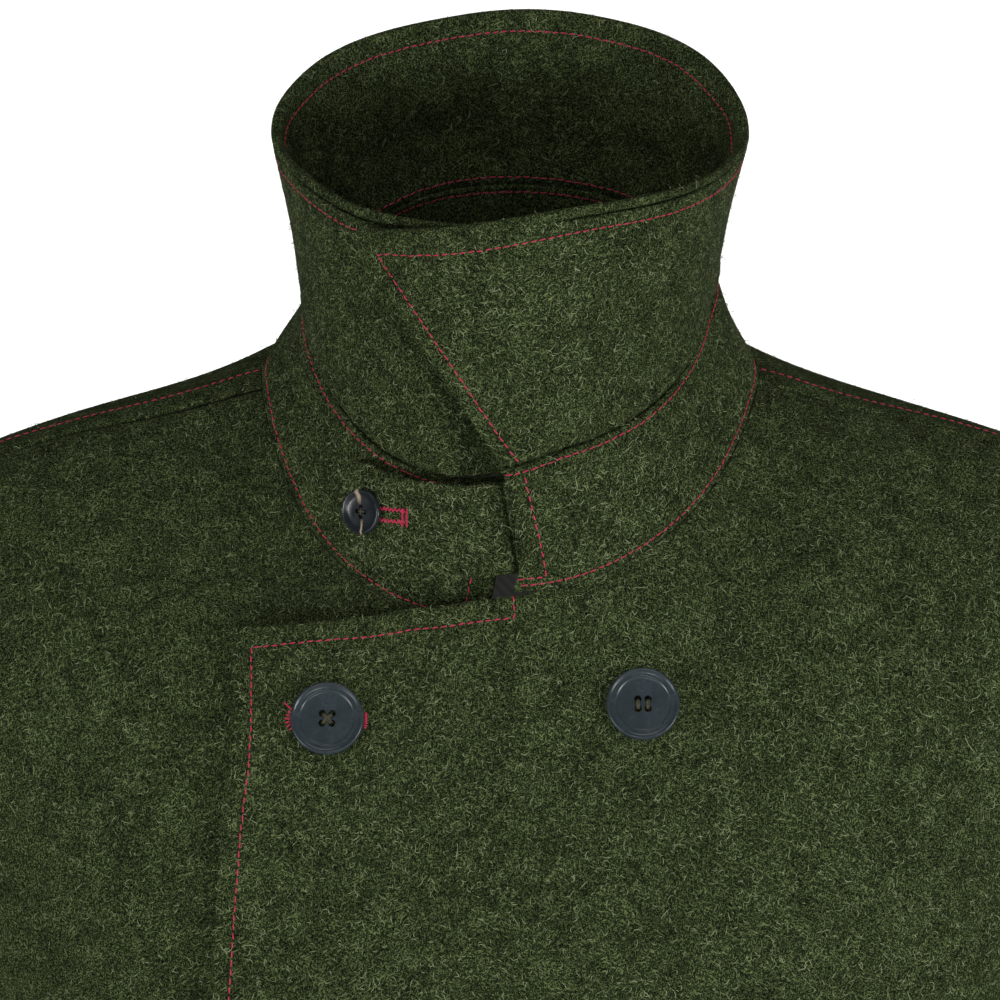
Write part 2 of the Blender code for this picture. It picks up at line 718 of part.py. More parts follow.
def build_buttons(left_front, tab, parts, cutters):
    """Eight buttons on the left front and a small one on the tab."""
    cutter = hole_cutter("button_drills", BUTTON_HOLE, BUTTON_HOLE_OFFSET, math.pi / 4, cutters)
    drilled = button_mesh("button_blank", BUTTON_PROFILE, cutter, cutters)
    for index, (x, z) in enumerate(BUTTON_PLACES):
        name = "button_%s_%d" % ("right" if x < 0 else "left", index // 2 + 1)
        seat_button(name, drilled, left_front, front_point_at(x, z), BUTTON_SLATE, parts)
    cutter = hole_cutter("tab_button_drills", TAB_BUTTON_HOLE, TAB_BUTTON_HOLE_OFFSET, 0.0, cutters)
    drilled = button_mesh("tab_button_blank", TAB_BUTTON_PROFILE, cutter, cutters)
    angle, station = TAB_BUTTON_PLACE
    angles, bottoms, tops = list(zip(*reversed(TAB)))[:3]
    bottom = np.interp(angle, angles, bottoms)
    top = np.interp(angle, angles, tops)
    share = 1.0 - np.interp(angle, angles, np.linspace(0.0, 1.0, len(TAB)))
    near = tab_place(share, (station - bottom) / (top - bottom), -1.0 * MM)
    seat_button("button_tab", drilled, tab, near, BUTTON_HORN, parts)


def new_collection(name):
    """A collection linked to the scene."""
    collection = bpy.data.collections.new(name)
    bpy.context.scene.collection.children.link(collection)
    return collection


def main():
    """Build the jacket in an empty scene."""
    for leftover in list(bpy.data.objects):
        bpy.data.objects.remove(leftover)
    parts = new_collection("loden_jacket")
    cutters = new_collection("cutters")
    left_front = build_body(parts)
    build_sleeves(parts)
    build_collar(parts)
    tab = build_tab_and_lining(parts)
    bpy.context.view_layer.update()
    build_buttons(left_front, tab, parts, cutters)


main()
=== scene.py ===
"""Loden jacket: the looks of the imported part, laid out as an add-on and run as a script.

Every cloth piece is a thin closed shell on the same form as its solid, with finer rows, rolled
edges, seams, soft creases, stitches and loose wool fibres. Metres, +Z up, front at -Y.
"""
import math

import bmesh
import bpy
import numpy as np
from bpy.props import FloatProperty, FloatVectorProperty, IntProperty, PointerProperty
from mathutils import Matrix, Vector
from mathutils.kdtree import KDTree


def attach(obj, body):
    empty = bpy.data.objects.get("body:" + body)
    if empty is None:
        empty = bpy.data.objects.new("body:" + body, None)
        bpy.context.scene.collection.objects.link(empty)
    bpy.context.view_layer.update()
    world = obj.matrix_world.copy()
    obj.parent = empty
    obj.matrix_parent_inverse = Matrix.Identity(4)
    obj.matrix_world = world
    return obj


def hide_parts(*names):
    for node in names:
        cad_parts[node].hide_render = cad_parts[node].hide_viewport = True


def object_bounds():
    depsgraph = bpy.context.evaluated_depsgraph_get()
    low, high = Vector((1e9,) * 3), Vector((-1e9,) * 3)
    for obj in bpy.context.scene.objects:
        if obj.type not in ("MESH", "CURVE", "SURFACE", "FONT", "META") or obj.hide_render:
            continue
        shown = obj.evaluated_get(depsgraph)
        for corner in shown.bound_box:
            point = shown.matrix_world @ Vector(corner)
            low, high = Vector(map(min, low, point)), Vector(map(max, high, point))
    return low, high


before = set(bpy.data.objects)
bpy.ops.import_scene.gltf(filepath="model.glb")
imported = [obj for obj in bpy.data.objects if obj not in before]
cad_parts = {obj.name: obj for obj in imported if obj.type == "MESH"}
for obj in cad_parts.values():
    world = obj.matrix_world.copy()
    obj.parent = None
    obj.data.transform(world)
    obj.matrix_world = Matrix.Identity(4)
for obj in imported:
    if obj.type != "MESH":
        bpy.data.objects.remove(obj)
CAD_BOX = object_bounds()

bl_info = {
    "name": "Loden Jacket",
    "version": (1, 0, 0),
    "blender": (4, 5, 0),
    "location": "View3D > Sidebar > Jacket",
    "description": "Dresses the packed jacket in loden, red stitching and buttons",
    "category": "Object",
}

MM = 0.001
COLOUR = {"subtype": "COLOR", "size": 3, "min": 0.0, "max": 1.0}
BODY_NAME = "root"

# Cloth, in metres
CLOTH = 2.6 * MM
COLLAR_PLY = 2.1 * MM
LINING = 1.2 * MM
TAB_THICK = 3.2 * MM
GAP = 0.3 * MM
COLLAR_TOTAL = COLLAR_PLY + GAP + COLLAR_PLY
LAP_GAP = 1.0 * MM

# Sections of the body, the stand and the leaf, in millimetres: up, height, half width, front, back,
# centre, front drop, drop power, back rise, rise power, back skew, squareness
BODY = (
    (0, -700, 240, 162, 150, 4, 0, 1.5, 0, 2.2, 0, 2.35),
    (150, -550, 233, 158, 147, 4, 0, 1.5, 0, 2.2, 0, 2.35),
    (280, -420, 218, 149, 129, 2, 0, 1.5, 0, 2.2, 0, 2.30),
    (450, -252, 210, 150, 128, 0, 4, 1.5, 0, 2.2, 0, 2.40),
    (515, -190, 226, 141.5, 125, 0, 21, 1.5, 0, 2.2, 0, 2.45),
    (578, -130, 238, 131, 121, 0, 44, 1.5, 0, 2.2, 0, 2.45),
    (620, -89, 243, 122, 116, 0, 60, 1.5, 0, 2.2, 0, 2.40),
    (655, -54.8, 240, 115.5, 111, 0, 76.2, 1.5, -4, 2.2, 0, 2.30),
    (678, -39.7, 226, 111.5, 107, 0, 81.3, 1.5, -1, 2.2, 0, 2.22),
    (705, -28.3, 200, 107, 102, 0, 81.7, 1.5, 4.5, 2.2, 0, 2.15),
    (737, -18.6, 168, 101, 94, 0, 77.4, 1.5, 11.5, 2.2, 0, 2.08),
    (776, -9.5, 130, 94, 84, 0, 71.5, 1.5, 18, 1.7, 0, 2.03),
    (805, 0, 98, 88, 72, 0, 70, 1.5, 22, 1.15, 0, 2.00),
)
STAND = (
    (0, 0, 98, 88, 72, 0, 70, 1.50, 22, 1.15, 0, 2.00),
    (22, 21, 86.4, 84, 70, -2, 64.5, 1.40, 26, 1.15, 1, 2.00),
    (45, 38, 80.6, 81, 69, -4, 56, 1.28, 28, 1.15, 2, 2.00),
)
LEAF = (
    (0, 38, 80.6, 81, 69, -4, 56, 1.28, 28, 1.15, 2, 2.00),
    (35, 66, 85.5, 87, 73, -6, 37, 1.25, 35, 1.15, 4, 2.00),
    (70, 94, 93, 96, 78, -8, 16, 1.20, 42, 1.15, 7, 2.00),
)

# The collar's right side hangs lower
RIGHT_SAG = (20.0, 17.0)
RIGHT_SAG_ANGLE = 315.0
RIGHT_SAG_FRONT = 100.0
RIGHT_SAG_BACK = (50.0, 120.0)
LEFT_DROOP = 5 * MM
LEFT_DROOP_FADE = (-4.0, 16.0)
SAG_START = 680.0

# Stations and seams of the body
UP_ARMPIT = 450.0
UP_TIP = 678.0
UP_NECK = 805.0
SIDE_SEAM = 94.0
SHOULDER_SEAM = 85.0
NECK_POINT = 84.0
ARMHOLE_FRONT = 24.0
ARMHOLE_BACK = 28.0

# The lap of each front: (up, past the centre) of its edge, (past the centre, up) of its top edge
LAP_EDGE = ((0, 121.0), (300, 117.0), (491, 112.7), (574, 109.5), (660, 105.8), (718, 104.8))
LAP_TOP = ((-10, 805), (0, 802), (11.7, 797), (36.4, 778.5), (52.6, 761.5), (77.5, 741.3),
           (100, 723), (104.8, 718))
LAP_ROWS_FROM = 600.0
LAP_FADE = (32.0, 76.0)
LAP_OFF_FROM = 740.0
LAP_SHARE = 1.0 / 3.0

# Folds of the hanging skirt and of the sleeves: angle, up, half width, half length, lean in degrees
# to a hundred millimetres, height
LEAN = 0.01
BODY_FOLDS = (
    (58, 90, 13, 240, -6, 6.0),
    (118, 80, 14, 250, 5, 6.5),
    (156, 130, 15, 260, -4, 5.0),
    (201, 90, 14, 230, 4, 6.0),
    (243, 110, 15, 270, -6, 6.0),
    (298, 80, 12, 230, 6, 5.5),
)
SLEEVE_FOLDS = (
    (95, 95, 34, 26, 40, -4.5),
    (70, 150, 42, 22, -30, 4.0),
    (120, 205, 40, 24, 25, -4.0),
    (250, 130, 36, 26, -35, 3.5),
    (300, 215, 40, 24, 30, -3.5),
    (60, 285, 40, 26, -25, 3.0),
)

# Sleeve sections below the armpit: along, x, y, z, half across, half depth
ARM = (
    (0, 282, 2, -300, 61, 80),
    (110, 305, 0, -408, 58, 73),
    (215, 326, -8, -510, 54, 65),
    (340, 350, -29, -632, 50, 58),
)
ARM_DIRECTION = np.array((0.205, -0.01, -0.979))
ARM_NEAR = 4.0
ARM_FOLDS_FROM = (20.0, 80.0)
CAP_PULL_START = (175.0, 60.0, 34.0)
CAP_PULL_END = (220.0, 150.0)
SLEEVE_SEAM = 108.0

# Ends of the stand and the leaf
STAND_LEFT_END = (4.2, -2.0)
STAND_FOOT_ANGLE = 0.6
STAND_FOOT_SHARE = 0.25
STAND_RIGHT_END = (354.7, 361.0)
STAND_OFF = 6.0 * MM
END_LIFT = 2.6 * MM
END_LIFT_FADE = (-5.0, 38.0)
LEAF_LEFT_END = -38.0
LEAF_RIGHT_END = 394.0
LEAF_LEFT_FALL = 10.5
LEAF_RIGHT_FALL = 5.0
LEAF_LEFT_FALL_FADE = (-48.0, 22.0)
LEAF_RIGHT_FALL_FADE = (280.0, 325.0)
LEAF_SLANT_FROM = 38.0

# The throat tab: angle, bottom, top, off the stand, lift of its top edge
TAB = (
    (376, 13.6, 42.0, 0.2, 0.00),
    (366, 13.4, 43.4, 1.9, 0.00),
    (361, 13.4, 44.0, 3.45, 0.00),
    (357.5, 13.6, 44.2, 3.6, 0.00),
    (353, 13.9, 44.2, 4.0, 0.25),
    (347, 14.1, 44.0, 4.1, 0.45),
    (340, 13.3, 43.4, 4.1, 0.45),
    (330, 9.5, 41.7, 4.1, 0.45),
    (323, 6.8, 40.2, 4.1, 0.45),
    (317, 7.4, 37.0, 4.2, 0.45),
    (313.5, 13.3, 31.1, 4.3, 0.45),
)
TAB_LIFT_FROM = 35.0

# The yoke lining lies on this part of the back's columns and rows
YOKE_ACROSS = (0.25, 0.75)
YOKE_UP = (564.0, 773.25)

# Rows and columns of the shells: lengths and steps in millimetres
SKIRT_STEP = 10.0
SKIRT_CLEAR = 3.0
ARMHOLE_ROWS = 45
NECK_STEP = 3.2
NECK_CLEAR = 2.0
LAP_WIDTH, LAP_STEP = 118.0, 4.2
FRONT_WIDTH, FRONT_STEP = 350.0, 4.6
BACK_WIDTH, BACK_STEP = 560.0, 6.5
CAP_ROWS, CAP_CLOSER = 40, 1.5
ARM_ROW_STEP = 7.0
TOP_SLEEVE_WIDTH, UNDER_SLEEVE_WIDTH, SLEEVE_STEP = 250.0, 160.0, 5.5
COLLAR_LENGTH, COLLAR_STEP = 545.0, 2.6
STAND_ROW_STEP, LEAF_ROW_STEP = 1.9, 2.2
INSIDE_ROWS = 30
RIM_TURN_ROWS = 13
TAB_LENGTH, TAB_STEP = 115.0, 0.8
TAB_HEIGHT, TAB_ROW_STEP = 34.0, 1.4
YOKE_WIDTH, YOKE_HEIGHT, YOKE_STEP = 220.0, 215.0, 4.0

# Relief of the body, in metres: creases and swells die away at the edges, the neck is tucked in, and
# the lap is puffed along its edge with its stitches sunk, in shares of their distance
PANEL_QUIET = 12 * MM
NECK_TUCK, NECK_TUCK_WIDTH = 0.5 * MM, 5 * MM
LAP_PUFF, LAP_PUFF_WIDTH = 0.9 * MM, 10 * MM
LAP_SEWN_TO = 3 * MM
LAP_BAND = 12 * MM
LAP_SINK, LAP_SUNK = 0.45 * MM, 0.22
SLEEVE_QUIET = 14 * MM
# Relief of the collar, in metres, and in millimetres of station below the rim
STAND_QUIET, STAND_INNER_QUIET = 6 * MM, 4 * MM
STAND_TUCK, STAND_TUCK_TOP, STAND_TUCK_BOTTOM = 0.8 * MM, 2.4 * MM, 4.5 * MM
STAND_BOTTOM_SHARE = 0.8
LEAF_QUIET, RIM_QUIET = 8 * MM, 10.0
LEAF_PUFF, LEAF_PUFF_AT, LEAF_PUFF_WIDTH = 0.8 * MM, 3.0 * MM, 3.5 * MM
LEAF_END_SHARE, LEAF_END_WIDTH = 0.6, 6 * MM
COLLAR_SINK, STAND_INNER_SINK, LEAF_INNER_SINK = 0.35 * MM, 0.5 * MM, 0.4 * MM
# Rows of the rolled rim's outer turn, as shares of the way down to the seam
RIM_DOWN = np.array((0.0, 0.275, 0.55, 0.75, 0.9, 1.0))
# The stand's end presses a line into the tab that comes out from under it
TAB_QUIET = 5 * MM
TAB_PRESS, TAB_PRESS_AT, TAB_PRESS_WIDTH = 1.2 * MM, -0.4 * MM, 0.7 * MM
# The ease pleat down the middle of a coat lining
PLEAT_HIGH, PLEAT_AT, PLEAT_WIDTH, PLEAT_FROM = 2.6 * MM, -2.0 * MM, 2.6 * MM, 6 * MM

# Gentle swells of the cloth: height, size and seed of each
PANEL_SWELL = (0.5 * MM, 70 * MM, 138)
SLEEVE_SWELL = (0.6 * MM, 60 * MM, 5)
STAND_SWELL = (0.5 * MM, 30 * MM, 8)
LEAF_SWELL = (1.7 * MM, 40 * MM, 9)
TAB_SWELL = (0.35 * MM, 26 * MM, 4)
SWELL_WAVES = 7
SWELL_PITCH = (0.7, 1.5)
SWELL_SHARE = 5.0

# Soft creases of the fronts and the back as seen from the front, in millimetres: x and z of both
# ends, half width, height; each fades over these shares of its run
CREASE_IN = (-0.25, 0.3)
CREASE_OUT = (0.7, 1.25)
CREASE_SPREAD = 1.6
FRONT_CREASES = (
    (102, -8, 78, -104, 17, -3.2),
    (128, -28, 112, -120, 20, 1.4),
    (-98, -10, -82, -80, 17, -4.2),
    (-128, -32, -118, -110, 20, 1.3),
    (4, -128, 38, -124, 10, -1.4),
    (-72, -136, -70, -172, 14, -1.3),
    (-30, -150, -14, -262, 26, 1.2),
    (84, -150, 100, -250, 24, -2.2),
    (118, -88, 126, -134, 20, -1.4),
    (150, -96, 196, -170, 20, -1.6),
    (-150, -100, -198, -176, 20, -1.6),
    (-140, -190, -176, -300, 24, 1.4),
    (150, -210, 182, -310, 24, 1.4),
    (20, -330, 46, -520, 30, 1.5),
    (-60, -420, -52, -640, 30, -1.5),
    (110, -420, 132, -600, 28, -1.4),
)
# The under front dips along the lap's edge
LAP_HOLLOW = ((-112, -64, -113, -170, 11, -1.8), (-114, -150, -118, -330, 11, -1.6))
BACK_CREASES = (
    (0, 4, 6, -40, 22, -1.4),
    (-92, -30, -44, -66, 18, 1.4),
    (90, -34, 48, -70, 18, 1.3),
    (-160, -100, -196, -180, 22, -1.8),
    (158, -104, 198, -176, 22, -1.8),
    (-60, -210, -36, -330, 26, 1.4),
    (74, -230, 58, -350, 26, -1.4),
    (10, -360, 0, -560, 30, 1.6),
    (-120, -380, -128, -560, 26, -1.5),
)
# Dents of the collar: angle, height above the neck seam in stand and leaf stations, half width in
# degrees, half length in millimetres, lean, height
COLLAR_DENTS = (
    (8, 74, 15, 9, 10, -1.0),
    (26, 92, 20, 12, 20, 0.8),
    (52, 70, 16, 16, -30, -0.9),
    (75, 50, 12, 22, 15, -1.0),
    (120, 76, 20, 20, 20, 1.0),
    (168, 84, 16, 26, -20, -1.5),
    (205, 74, 15, 24, 15, 1.3),
    (238, 80, 14, 26, 10, -1.2),
    (290, 64, 16, 16, -20, 0.9),
    (318, 82, 15, 14, 30, -0.9),
    (335, 62, 12, 9, 0, -0.8),
)

# Rolled edges and the slits of seams, in millimetres
EDGE_STEPS = (0.12, 0.4, 0.9, 1.5, 2.2)
SEAM_SLIT = 0.45
SIDE_SLIT = 0.55
SHOULDER_SLIT = 0.8
SHOULDER_SLIT_FADE = 15.0
RIM_ROLL_DOWN = 3.35
RIM_SLIT = 0.5
LEAF_RIM = 3.4
# Degrees from the front over which the seam under the leaf opens wider
SIDE_SLIT_FROM = (20.0, 62.0)
# How wide each cloth's edges roll away, in metres, and how much of its thickness each face gives up
CLOTH_ROLL = 2.2 * MM
PLY_ROLL = 1.8 * MM
TAB_ROLL = 2.4 * MM
LINING_ROLL = 1.5 * MM
ROLL_SHARE = 0.46

# Lines of stitches: how far each lies from its edge or seam, in metres
FRONT_EDGE_STITCH = 8.1 * MM
FRONT_TOP_STITCH = 9.0 * MM
SHOULDER_STITCH = 13.0 * MM
STAND_TOP_STITCH = 3.0 * MM
STAND_BOTTOM_STITCH = 2.4 * MM
STAND_FOOT_STITCH = 5.0 * MM
STAND_LEFT_STITCH = 8.2 * MM
STAND_RIGHT_STITCH = 10.0 * MM
LEAF_END_STITCH = 7.2 * MM
LEAF_RIM_STITCH = (8.9 - LEAF_RIM) * MM
INSIDE_SEAM_STITCH = 3.4 * MM
INSIDE_RIM_STITCH = 6.4 * MM
# The inner rim's stitches sink this far below its edge, in millimetres
INSIDE_RIM_LINE = 8.7
# Half widths of the grooves the stitches sink into, narrow on the stand's seams
SUNK = 1.2 * MM
SUNK_NARROW = 1.1 * MM

# The under leaf gives way beneath the slanting end that laps over it: how deep in metres, over so
# many degrees, and between which stations it begins
UNDER_HOLLOW = 2.0 * MM
UNDER_HOLLOW_REACH = 7.0
UNDER_HOLLOW_RISE = (30.0, 52.0)
# Deepest round the seam under the leaf: how deep, at which station and how far up and down
UNDER_HOLLOW_DEEP = 5.5 * MM
UNDER_HOLLOW_AT = 55.0
UNDER_HOLLOW_TALL = 24.0
UNDER_HOLLOW_END = -3.0
# The over leaf's corner is rounded over so many degrees, and its rim seam rolls out of sight there
CORNER_FALL = 3.4
CORNER_REACH = 5.0
RIM_SEAM_SHOWS = (4.0, 18.0)
# The rim rises a little at the back corners: millimetres at the left and the right, and where
RIM_RISE = (3.6, 4.4)
RIM_RISE_FROM = (16.0, 60.0)
RIM_RISE_TO = (78.0, 104.0)

# Buttons: profiles as (radius, height) in millimetres from the middle of the face to the back
BUTTON_PROFILE = ((0, 2.92), (6.0, 2.93), (9.6, 2.95), (9.95, 2.98), (10.2, 3.1), (10.45, 3.32),
                  (10.7, 3.42), (11.0, 3.44), (11.3, 3.42), (12.3, 3.62), (12.6, 3.8), (12.8, 4.05),
                  (13.05, 4.18), (13.35, 4.15), (13.7, 3.85), (13.9, 3.35), (13.9, 1.7), (13.75, 1.2),
                  (12.6, 0.15), (12.2, 0.0), (0, 0))
TAB_BUTTON_PROFILE = ((0, 1.95), (4.0, 1.96), (5.8, 1.98), (6.3, 2.08), (7.6, 2.78), (7.95, 2.88),
                      (8.3, 2.82), (8.6, 2.5), (8.7, 2.15), (8.7, 1.2), (8.5, 0.8), (7.7, 0.05),
                      (7.4, 0.0), (0, 0))
# Both kinds of button, in millimetres: hole radius, offset of the holes, height of the threads' ends,
# rise of the first thread, then how many strands each pair of holes has and the turn of the holes
LARGE_KIND = (1.35, 1.9, 2.7, 0.45, 3, math.pi / 4)
SMALL_KIND = (0.9, 1.25, 1.75, 0.1, 1, 0.0)
STRAND_APART = 0.42 * MM
STRAND_WANDER = 0.06 * MM
STRAND_RADIUS = 0.26 * MM
SECOND_RISE = 0.3
DRILL_DEPTH = 20 * MM
BUTTON_MERGE = 0.02 * MM
BUTTON_SHARP = 38.0
BUTTON_STEPS = 72
HOLE_SIDES = 20
LARGE_BUTTONS = tuple("button_%s_%d" % (side, k) for k in range(1, 5) for side in ("right", "left"))

# Buttonholes, in millimetres: start, end, inner and outer reach of each row of close stitches
BUTTONHOLE_ROWS = ((-10.0, -5.5, 0.4, 2.1), (-10.0, -5.5, -0.4, -2.1),
                   (5.5, 13.0, 0.4, 2.1), (5.5, 13.0, -0.4, -2.1))
EYELET_AT = -11.0 * MM
EYELET_ROW = ((0.0, 0.0, 2.6, 5.4),)
EYELET_TURNS = np.radians(np.arange(70.0, 291.0, 18.0))
BAR_AT = 14.3 * MM
BAR_ROW = ((-2.7, 2.7, -0.75, 0.75),)
LOOSE_END_AT = (-13.6 * MM, 3.4 * MM)
LOOSE_END_ROW = ((0.0, 0.0, 0.0, 4.8),)
TAB_HOLE_ROWS = ((-7.0, 18.0, 1.0, 2.7), (-7.0, 18.0, -3.4, -1.7))
TAB_HOLE_LEAN = 0.5 * MM
TAB_BARS_AT = (17.4, 19.3)
TAB_BARS_DOWN = 0.8 * MM
TAB_BAR_ROW = ((-3.2, 3.2, -0.6, 0.6),)
# From stitch to stitch, in metres, and how far the hand wanders
HOLE_PITCH, BAR_PITCH, TAB_HOLE_PITCH, TAB_BAR_PITCH = 0.85 * MM, 0.55 * MM, 0.8 * MM, 0.6 * MM
HAND_WANDER = 0.10 * MM
HOLE_THREAD = 0.3 * MM

# One stitch: along its run, how thick and how high its rings are, in shares of length and radius
STITCH_RINGS = ((-1.0, 0.35, -0.7), (-0.72, 0.85, 0.05), (-0.3, 1.0, 0.38), (0.3, 1.0, 0.38),
                (0.72, 0.85, 0.05), (1.0, 0.35, -0.7))
STITCH_SIDES = 6
STITCH_ENDS = ((0, 1, 2, 3), (0, 3, 4, 5))
# Stitches vary: in length, slant (middle and spread) and sideways
STITCH_VARIES = 0.08
STITCH_SLANT = (0.09, 0.05)
STITCH_WANDER = 0.07 * MM
# Rows and columns by which lines of stitches keep clear of the ends and corners of the grids
END_CLEAR, CORNER_CLEAR, INSIDE_CLEAR = 5, 8, 6
FRONT_CORNER_ROWS, LAP_COLUMNS, TURN_ROWS = 10, 60, 12
# Where the left front's stitches turn up to the neck
LAP_TURN_X = 1.2 * MM

# The six long axes of an icosahedron: hairs drawn along them lie every way on any face
FIBRE_AXES = ((0, 1, 1.618), (0, 1, -1.618), (1, 1.618, 0), (1, -1.618, 0), (1.618, 0, 1), (-1.618, 0, 1))

# Loose hairs are thickest in the upper chest, which is seen closest, and on the back at the shoulders:
# heights between which they thin out, and how many are left below
CHEST_FADE = (-0.40, -0.25)
SHOULDER_FADE = (-0.08, 0.0)
NAP_BELOW = 0.10
# By piece: the side the hairs show on, their share of all of them, and where they thin out
NAP = (
    ("front_left", 1, 0.31, CHEST_FADE),
    ("front_right", 1, 0.17, CHEST_FADE),
    ("back", 1, 0.11, SHOULDER_FADE),
    ("leaf_outer", 1, 0.13, CHEST_FADE),
    ("leaf_inner", -1, 0.06, CHEST_FADE),
    ("stand_outer", 1, 0.08, CHEST_FADE),
    ("throat_tab", -1, 0.019, CHEST_FADE),
    ("top_sleeve_left", 1, 0.035, CHEST_FADE),
    ("top_sleeve_right", -1, 0.035, CHEST_FADE),
    ("under_sleeve_left", 1, 0.02, CHEST_FADE),
    ("under_sleeve_right", -1, 0.02, CHEST_FADE),
)
# A hair lies this high, and spreads so much in height, length and bend
HAIR_LOW = 0.10 * MM
HAIR_SPREAD = 0.16 * MM
HAIR_LENGTHS = 0.35
HAIR_BENDS = 0.3
# Places along a hair and how much of its width is left there
HAIR_RUN = ((-0.5, 0.35), (-0.17, 1.0), (0.17, 1.0), (0.5, 0.3))
HAIR_FACES = np.array(((0, 2, 3, 1), (2, 4, 5, 3), (4, 6, 7, 5)))
# One hair in five strays up off the cloth, so its outline is not sharp
STRAY_SHARE = 0.2
STRAY_RISE = 4.0
# No hair lies over a stitch
STITCH_CLEAR = 1.4 * MM

# Camera and floor, in metres
CAMERA_TARGET = Vector((-0.004, -0.10, -0.034))
CAMERA_TILT = math.radians(10.0)
CAMERA_DISTANCE = 2.2
CAMERA_FRAME = 0.377
SENSOR = 36.0
FLOOR_DROP = 0.02
FLOOR_HALF = 30.0
JACKET_MIDDLE = (0.0, -0.05, -0.1)

# Shown faces of the cloth by solid, for stitches and hairs, and the places of the stitches
SHOWN = {}
SEWN = []


def linear(hex_colour):
    """A linear colour from an sRGB hex value."""
    parts = [int(hex_colour[i:i + 2], 16) / 255.0 for i in (1, 3, 5)]
    return tuple(c / 12.92 if c <= 0.04045 else ((c + 0.055) / 1.055) ** 2.4 for c in parts)


def columns_at(table, station):
    """Every column of a section table at stations, by smooth curves that never overshoot a row."""
    rows = np.array(table, dtype=float)
    up, values = rows[:, 0], rows[:, 1:]
    slope = np.diff(values, axis=0) / np.diff(up)[:, None]
    tangent = np.zeros_like(values)
    tangent[0], tangent[-1] = slope[0], slope[-1]
    both = slope[:-1] * slope[1:]
    total = np.where(both > 0, slope[:-1] + slope[1:], 1.0)
    tangent[1:-1] = np.where(both > 0, 2.0 * both / total, 0.0)
    station = np.asarray(station, dtype=float)
    index = np.clip(np.searchsorted(up, station) - 1, 0, len(up) - 2)
    reach = (up[index + 1] - up[index])[..., None]
    t = (station - up[index])[..., None] / reach
    result = ((1 + 2 * t) * (1 - t) ** 2 * values[index]
              + t * (1 - t) ** 2 * reach * tangent[index]
              + t * t * (3 - 2 * t) * values[index + 1]
              + t * t * (t - 1) * reach * tangent[index + 1])
    return np.moveaxis(result, -1, 0)


def smoothstep(low, high, value):
    """0 below low, 1 above high, smooth between."""
    t = np.clip((value - low) / (high - low), 0.0, 1.0)
    return t * t * (3 - 2 * t)


def bump(distance, reach):
    """1 at no distance, 0 from reach on, smooth between."""
    return 1.0 - smoothstep(0.0, 1.0, np.abs(distance) / reach)


def unit(vectors):
    """Vectors of length one."""
    return vectors / np.maximum(np.linalg.norm(vectors, axis=-1, keepdims=True), 1e-12)


def signed_power(value, exponent):
    """A power that keeps the sign of its base."""
    return np.sign(value) * np.abs(value) ** exponent


def between(low, high, share):
    """The value at a share of the way from low to high."""
    return low + (high - low) * share


def curve_value(rows, at):
    """Values between the rows of a short two-column table."""
    return np.interp(at, [row[0] for row in rows], [row[1] for row in rows])


def ring(table, angle, station):
    """Points of a section table's surface, in metres."""
    angle, station = np.broadcast_arrays(np.asarray(angle, float), np.asarray(station, float))
    (height, half_width, front, back, centre,
     drop, drop_power, rise, rise_power, skew, square) = columns_at(table, station)
    sine, cosine = np.sin(np.radians(angle)), np.cos(np.radians(angle))
    ahead, behind = np.maximum(cosine, 0.0), np.maximum(-cosine, 0.0)
    bend = 2.0 / square
    x = half_width * signed_power(sine, bend) + skew * behind ** 2
    y = centre - front * ahead ** bend + back * behind ** bend
    z = height - drop * ahead ** drop_power + rise * behind ** rise_power
    return np.stack((x, y, z), axis=-1) * MM


def fold_height(folds, angle, along):
    """How far the folds of a table move the cloth out, in metres."""
    total = 0.0
    for middle, up, half_width, half_length, lean, height in folds:
        off = along - up
        across = (angle - middle + 180.0) % 360.0 - 180.0 - lean * off * LEAN
        total = total + height * bump(across, half_width) * bump(off, half_length)
    return total * MM


def right_sag(angle, rise):
    """How far the collar's right side hangs lower, from the neck seam to the stand's top."""
    off = angle - RIGHT_SAG_ANGLE
    reach = np.where(off > 0, RIGHT_SAG_FRONT, between(*RIGHT_SAG_BACK, rise))
    return between(*RIGHT_SAG, rise) * MM * bump(off, reach)


def left_droop(angle):
    """How far the left end of the seam between stand and leaf hangs lower."""
    return LEFT_DROOP * (1.0 - smoothstep(*LEFT_DROOP_FADE, angle))


def lowered(points, amount):
    """Points moved straight down."""
    moved = np.array(points)
    moved[..., 2] -= amount
    return moved


def normal_of(surface, across, along, small=0.05):
    """Outward normals of surface(across, along)."""
    ahead = surface(across + small, along) - surface(across - small, along)
    above = surface(across, along + small) - surface(across, along - small)
    return unit(np.cross(ahead, above))


def level_of(surface, across, along, small=0.5):
    """Outward normals of sections in their own level."""
    ahead = surface(across + small, along) - surface(across - small, along)
    return unit(np.stack((ahead[..., 1], -ahead[..., 0], np.zeros_like(ahead[..., 0])), axis=-1))


def over_surface(angle, up):
    """The left front's form: the body without the sag of its right neck."""
    fold = fold_height(BODY_FOLDS, angle, up)[..., None]
    sine, cosine = np.sin(np.radians(angle)), np.cos(np.radians(angle))
    return ring(BODY, angle, up) + np.stack((sine, -cosine, 0.0 * sine), axis=-1) * fold


def body_surface(angle, up):
    """The body with the folds of its skirt and the sag of its right neck."""
    return lowered(over_surface(angle, up), right_sag(angle, 0.0) * smoothstep(SAG_START, UP_NECK, up))


def end_off(angle):
    """How far the collar's left end, and the front under it, stand off the right end."""
    return (STAND_OFF * (1.0 - smoothstep(*LAP_FADE, angle))
            + END_LIFT * (1.0 - smoothstep(*END_LIFT_FADE, angle)))


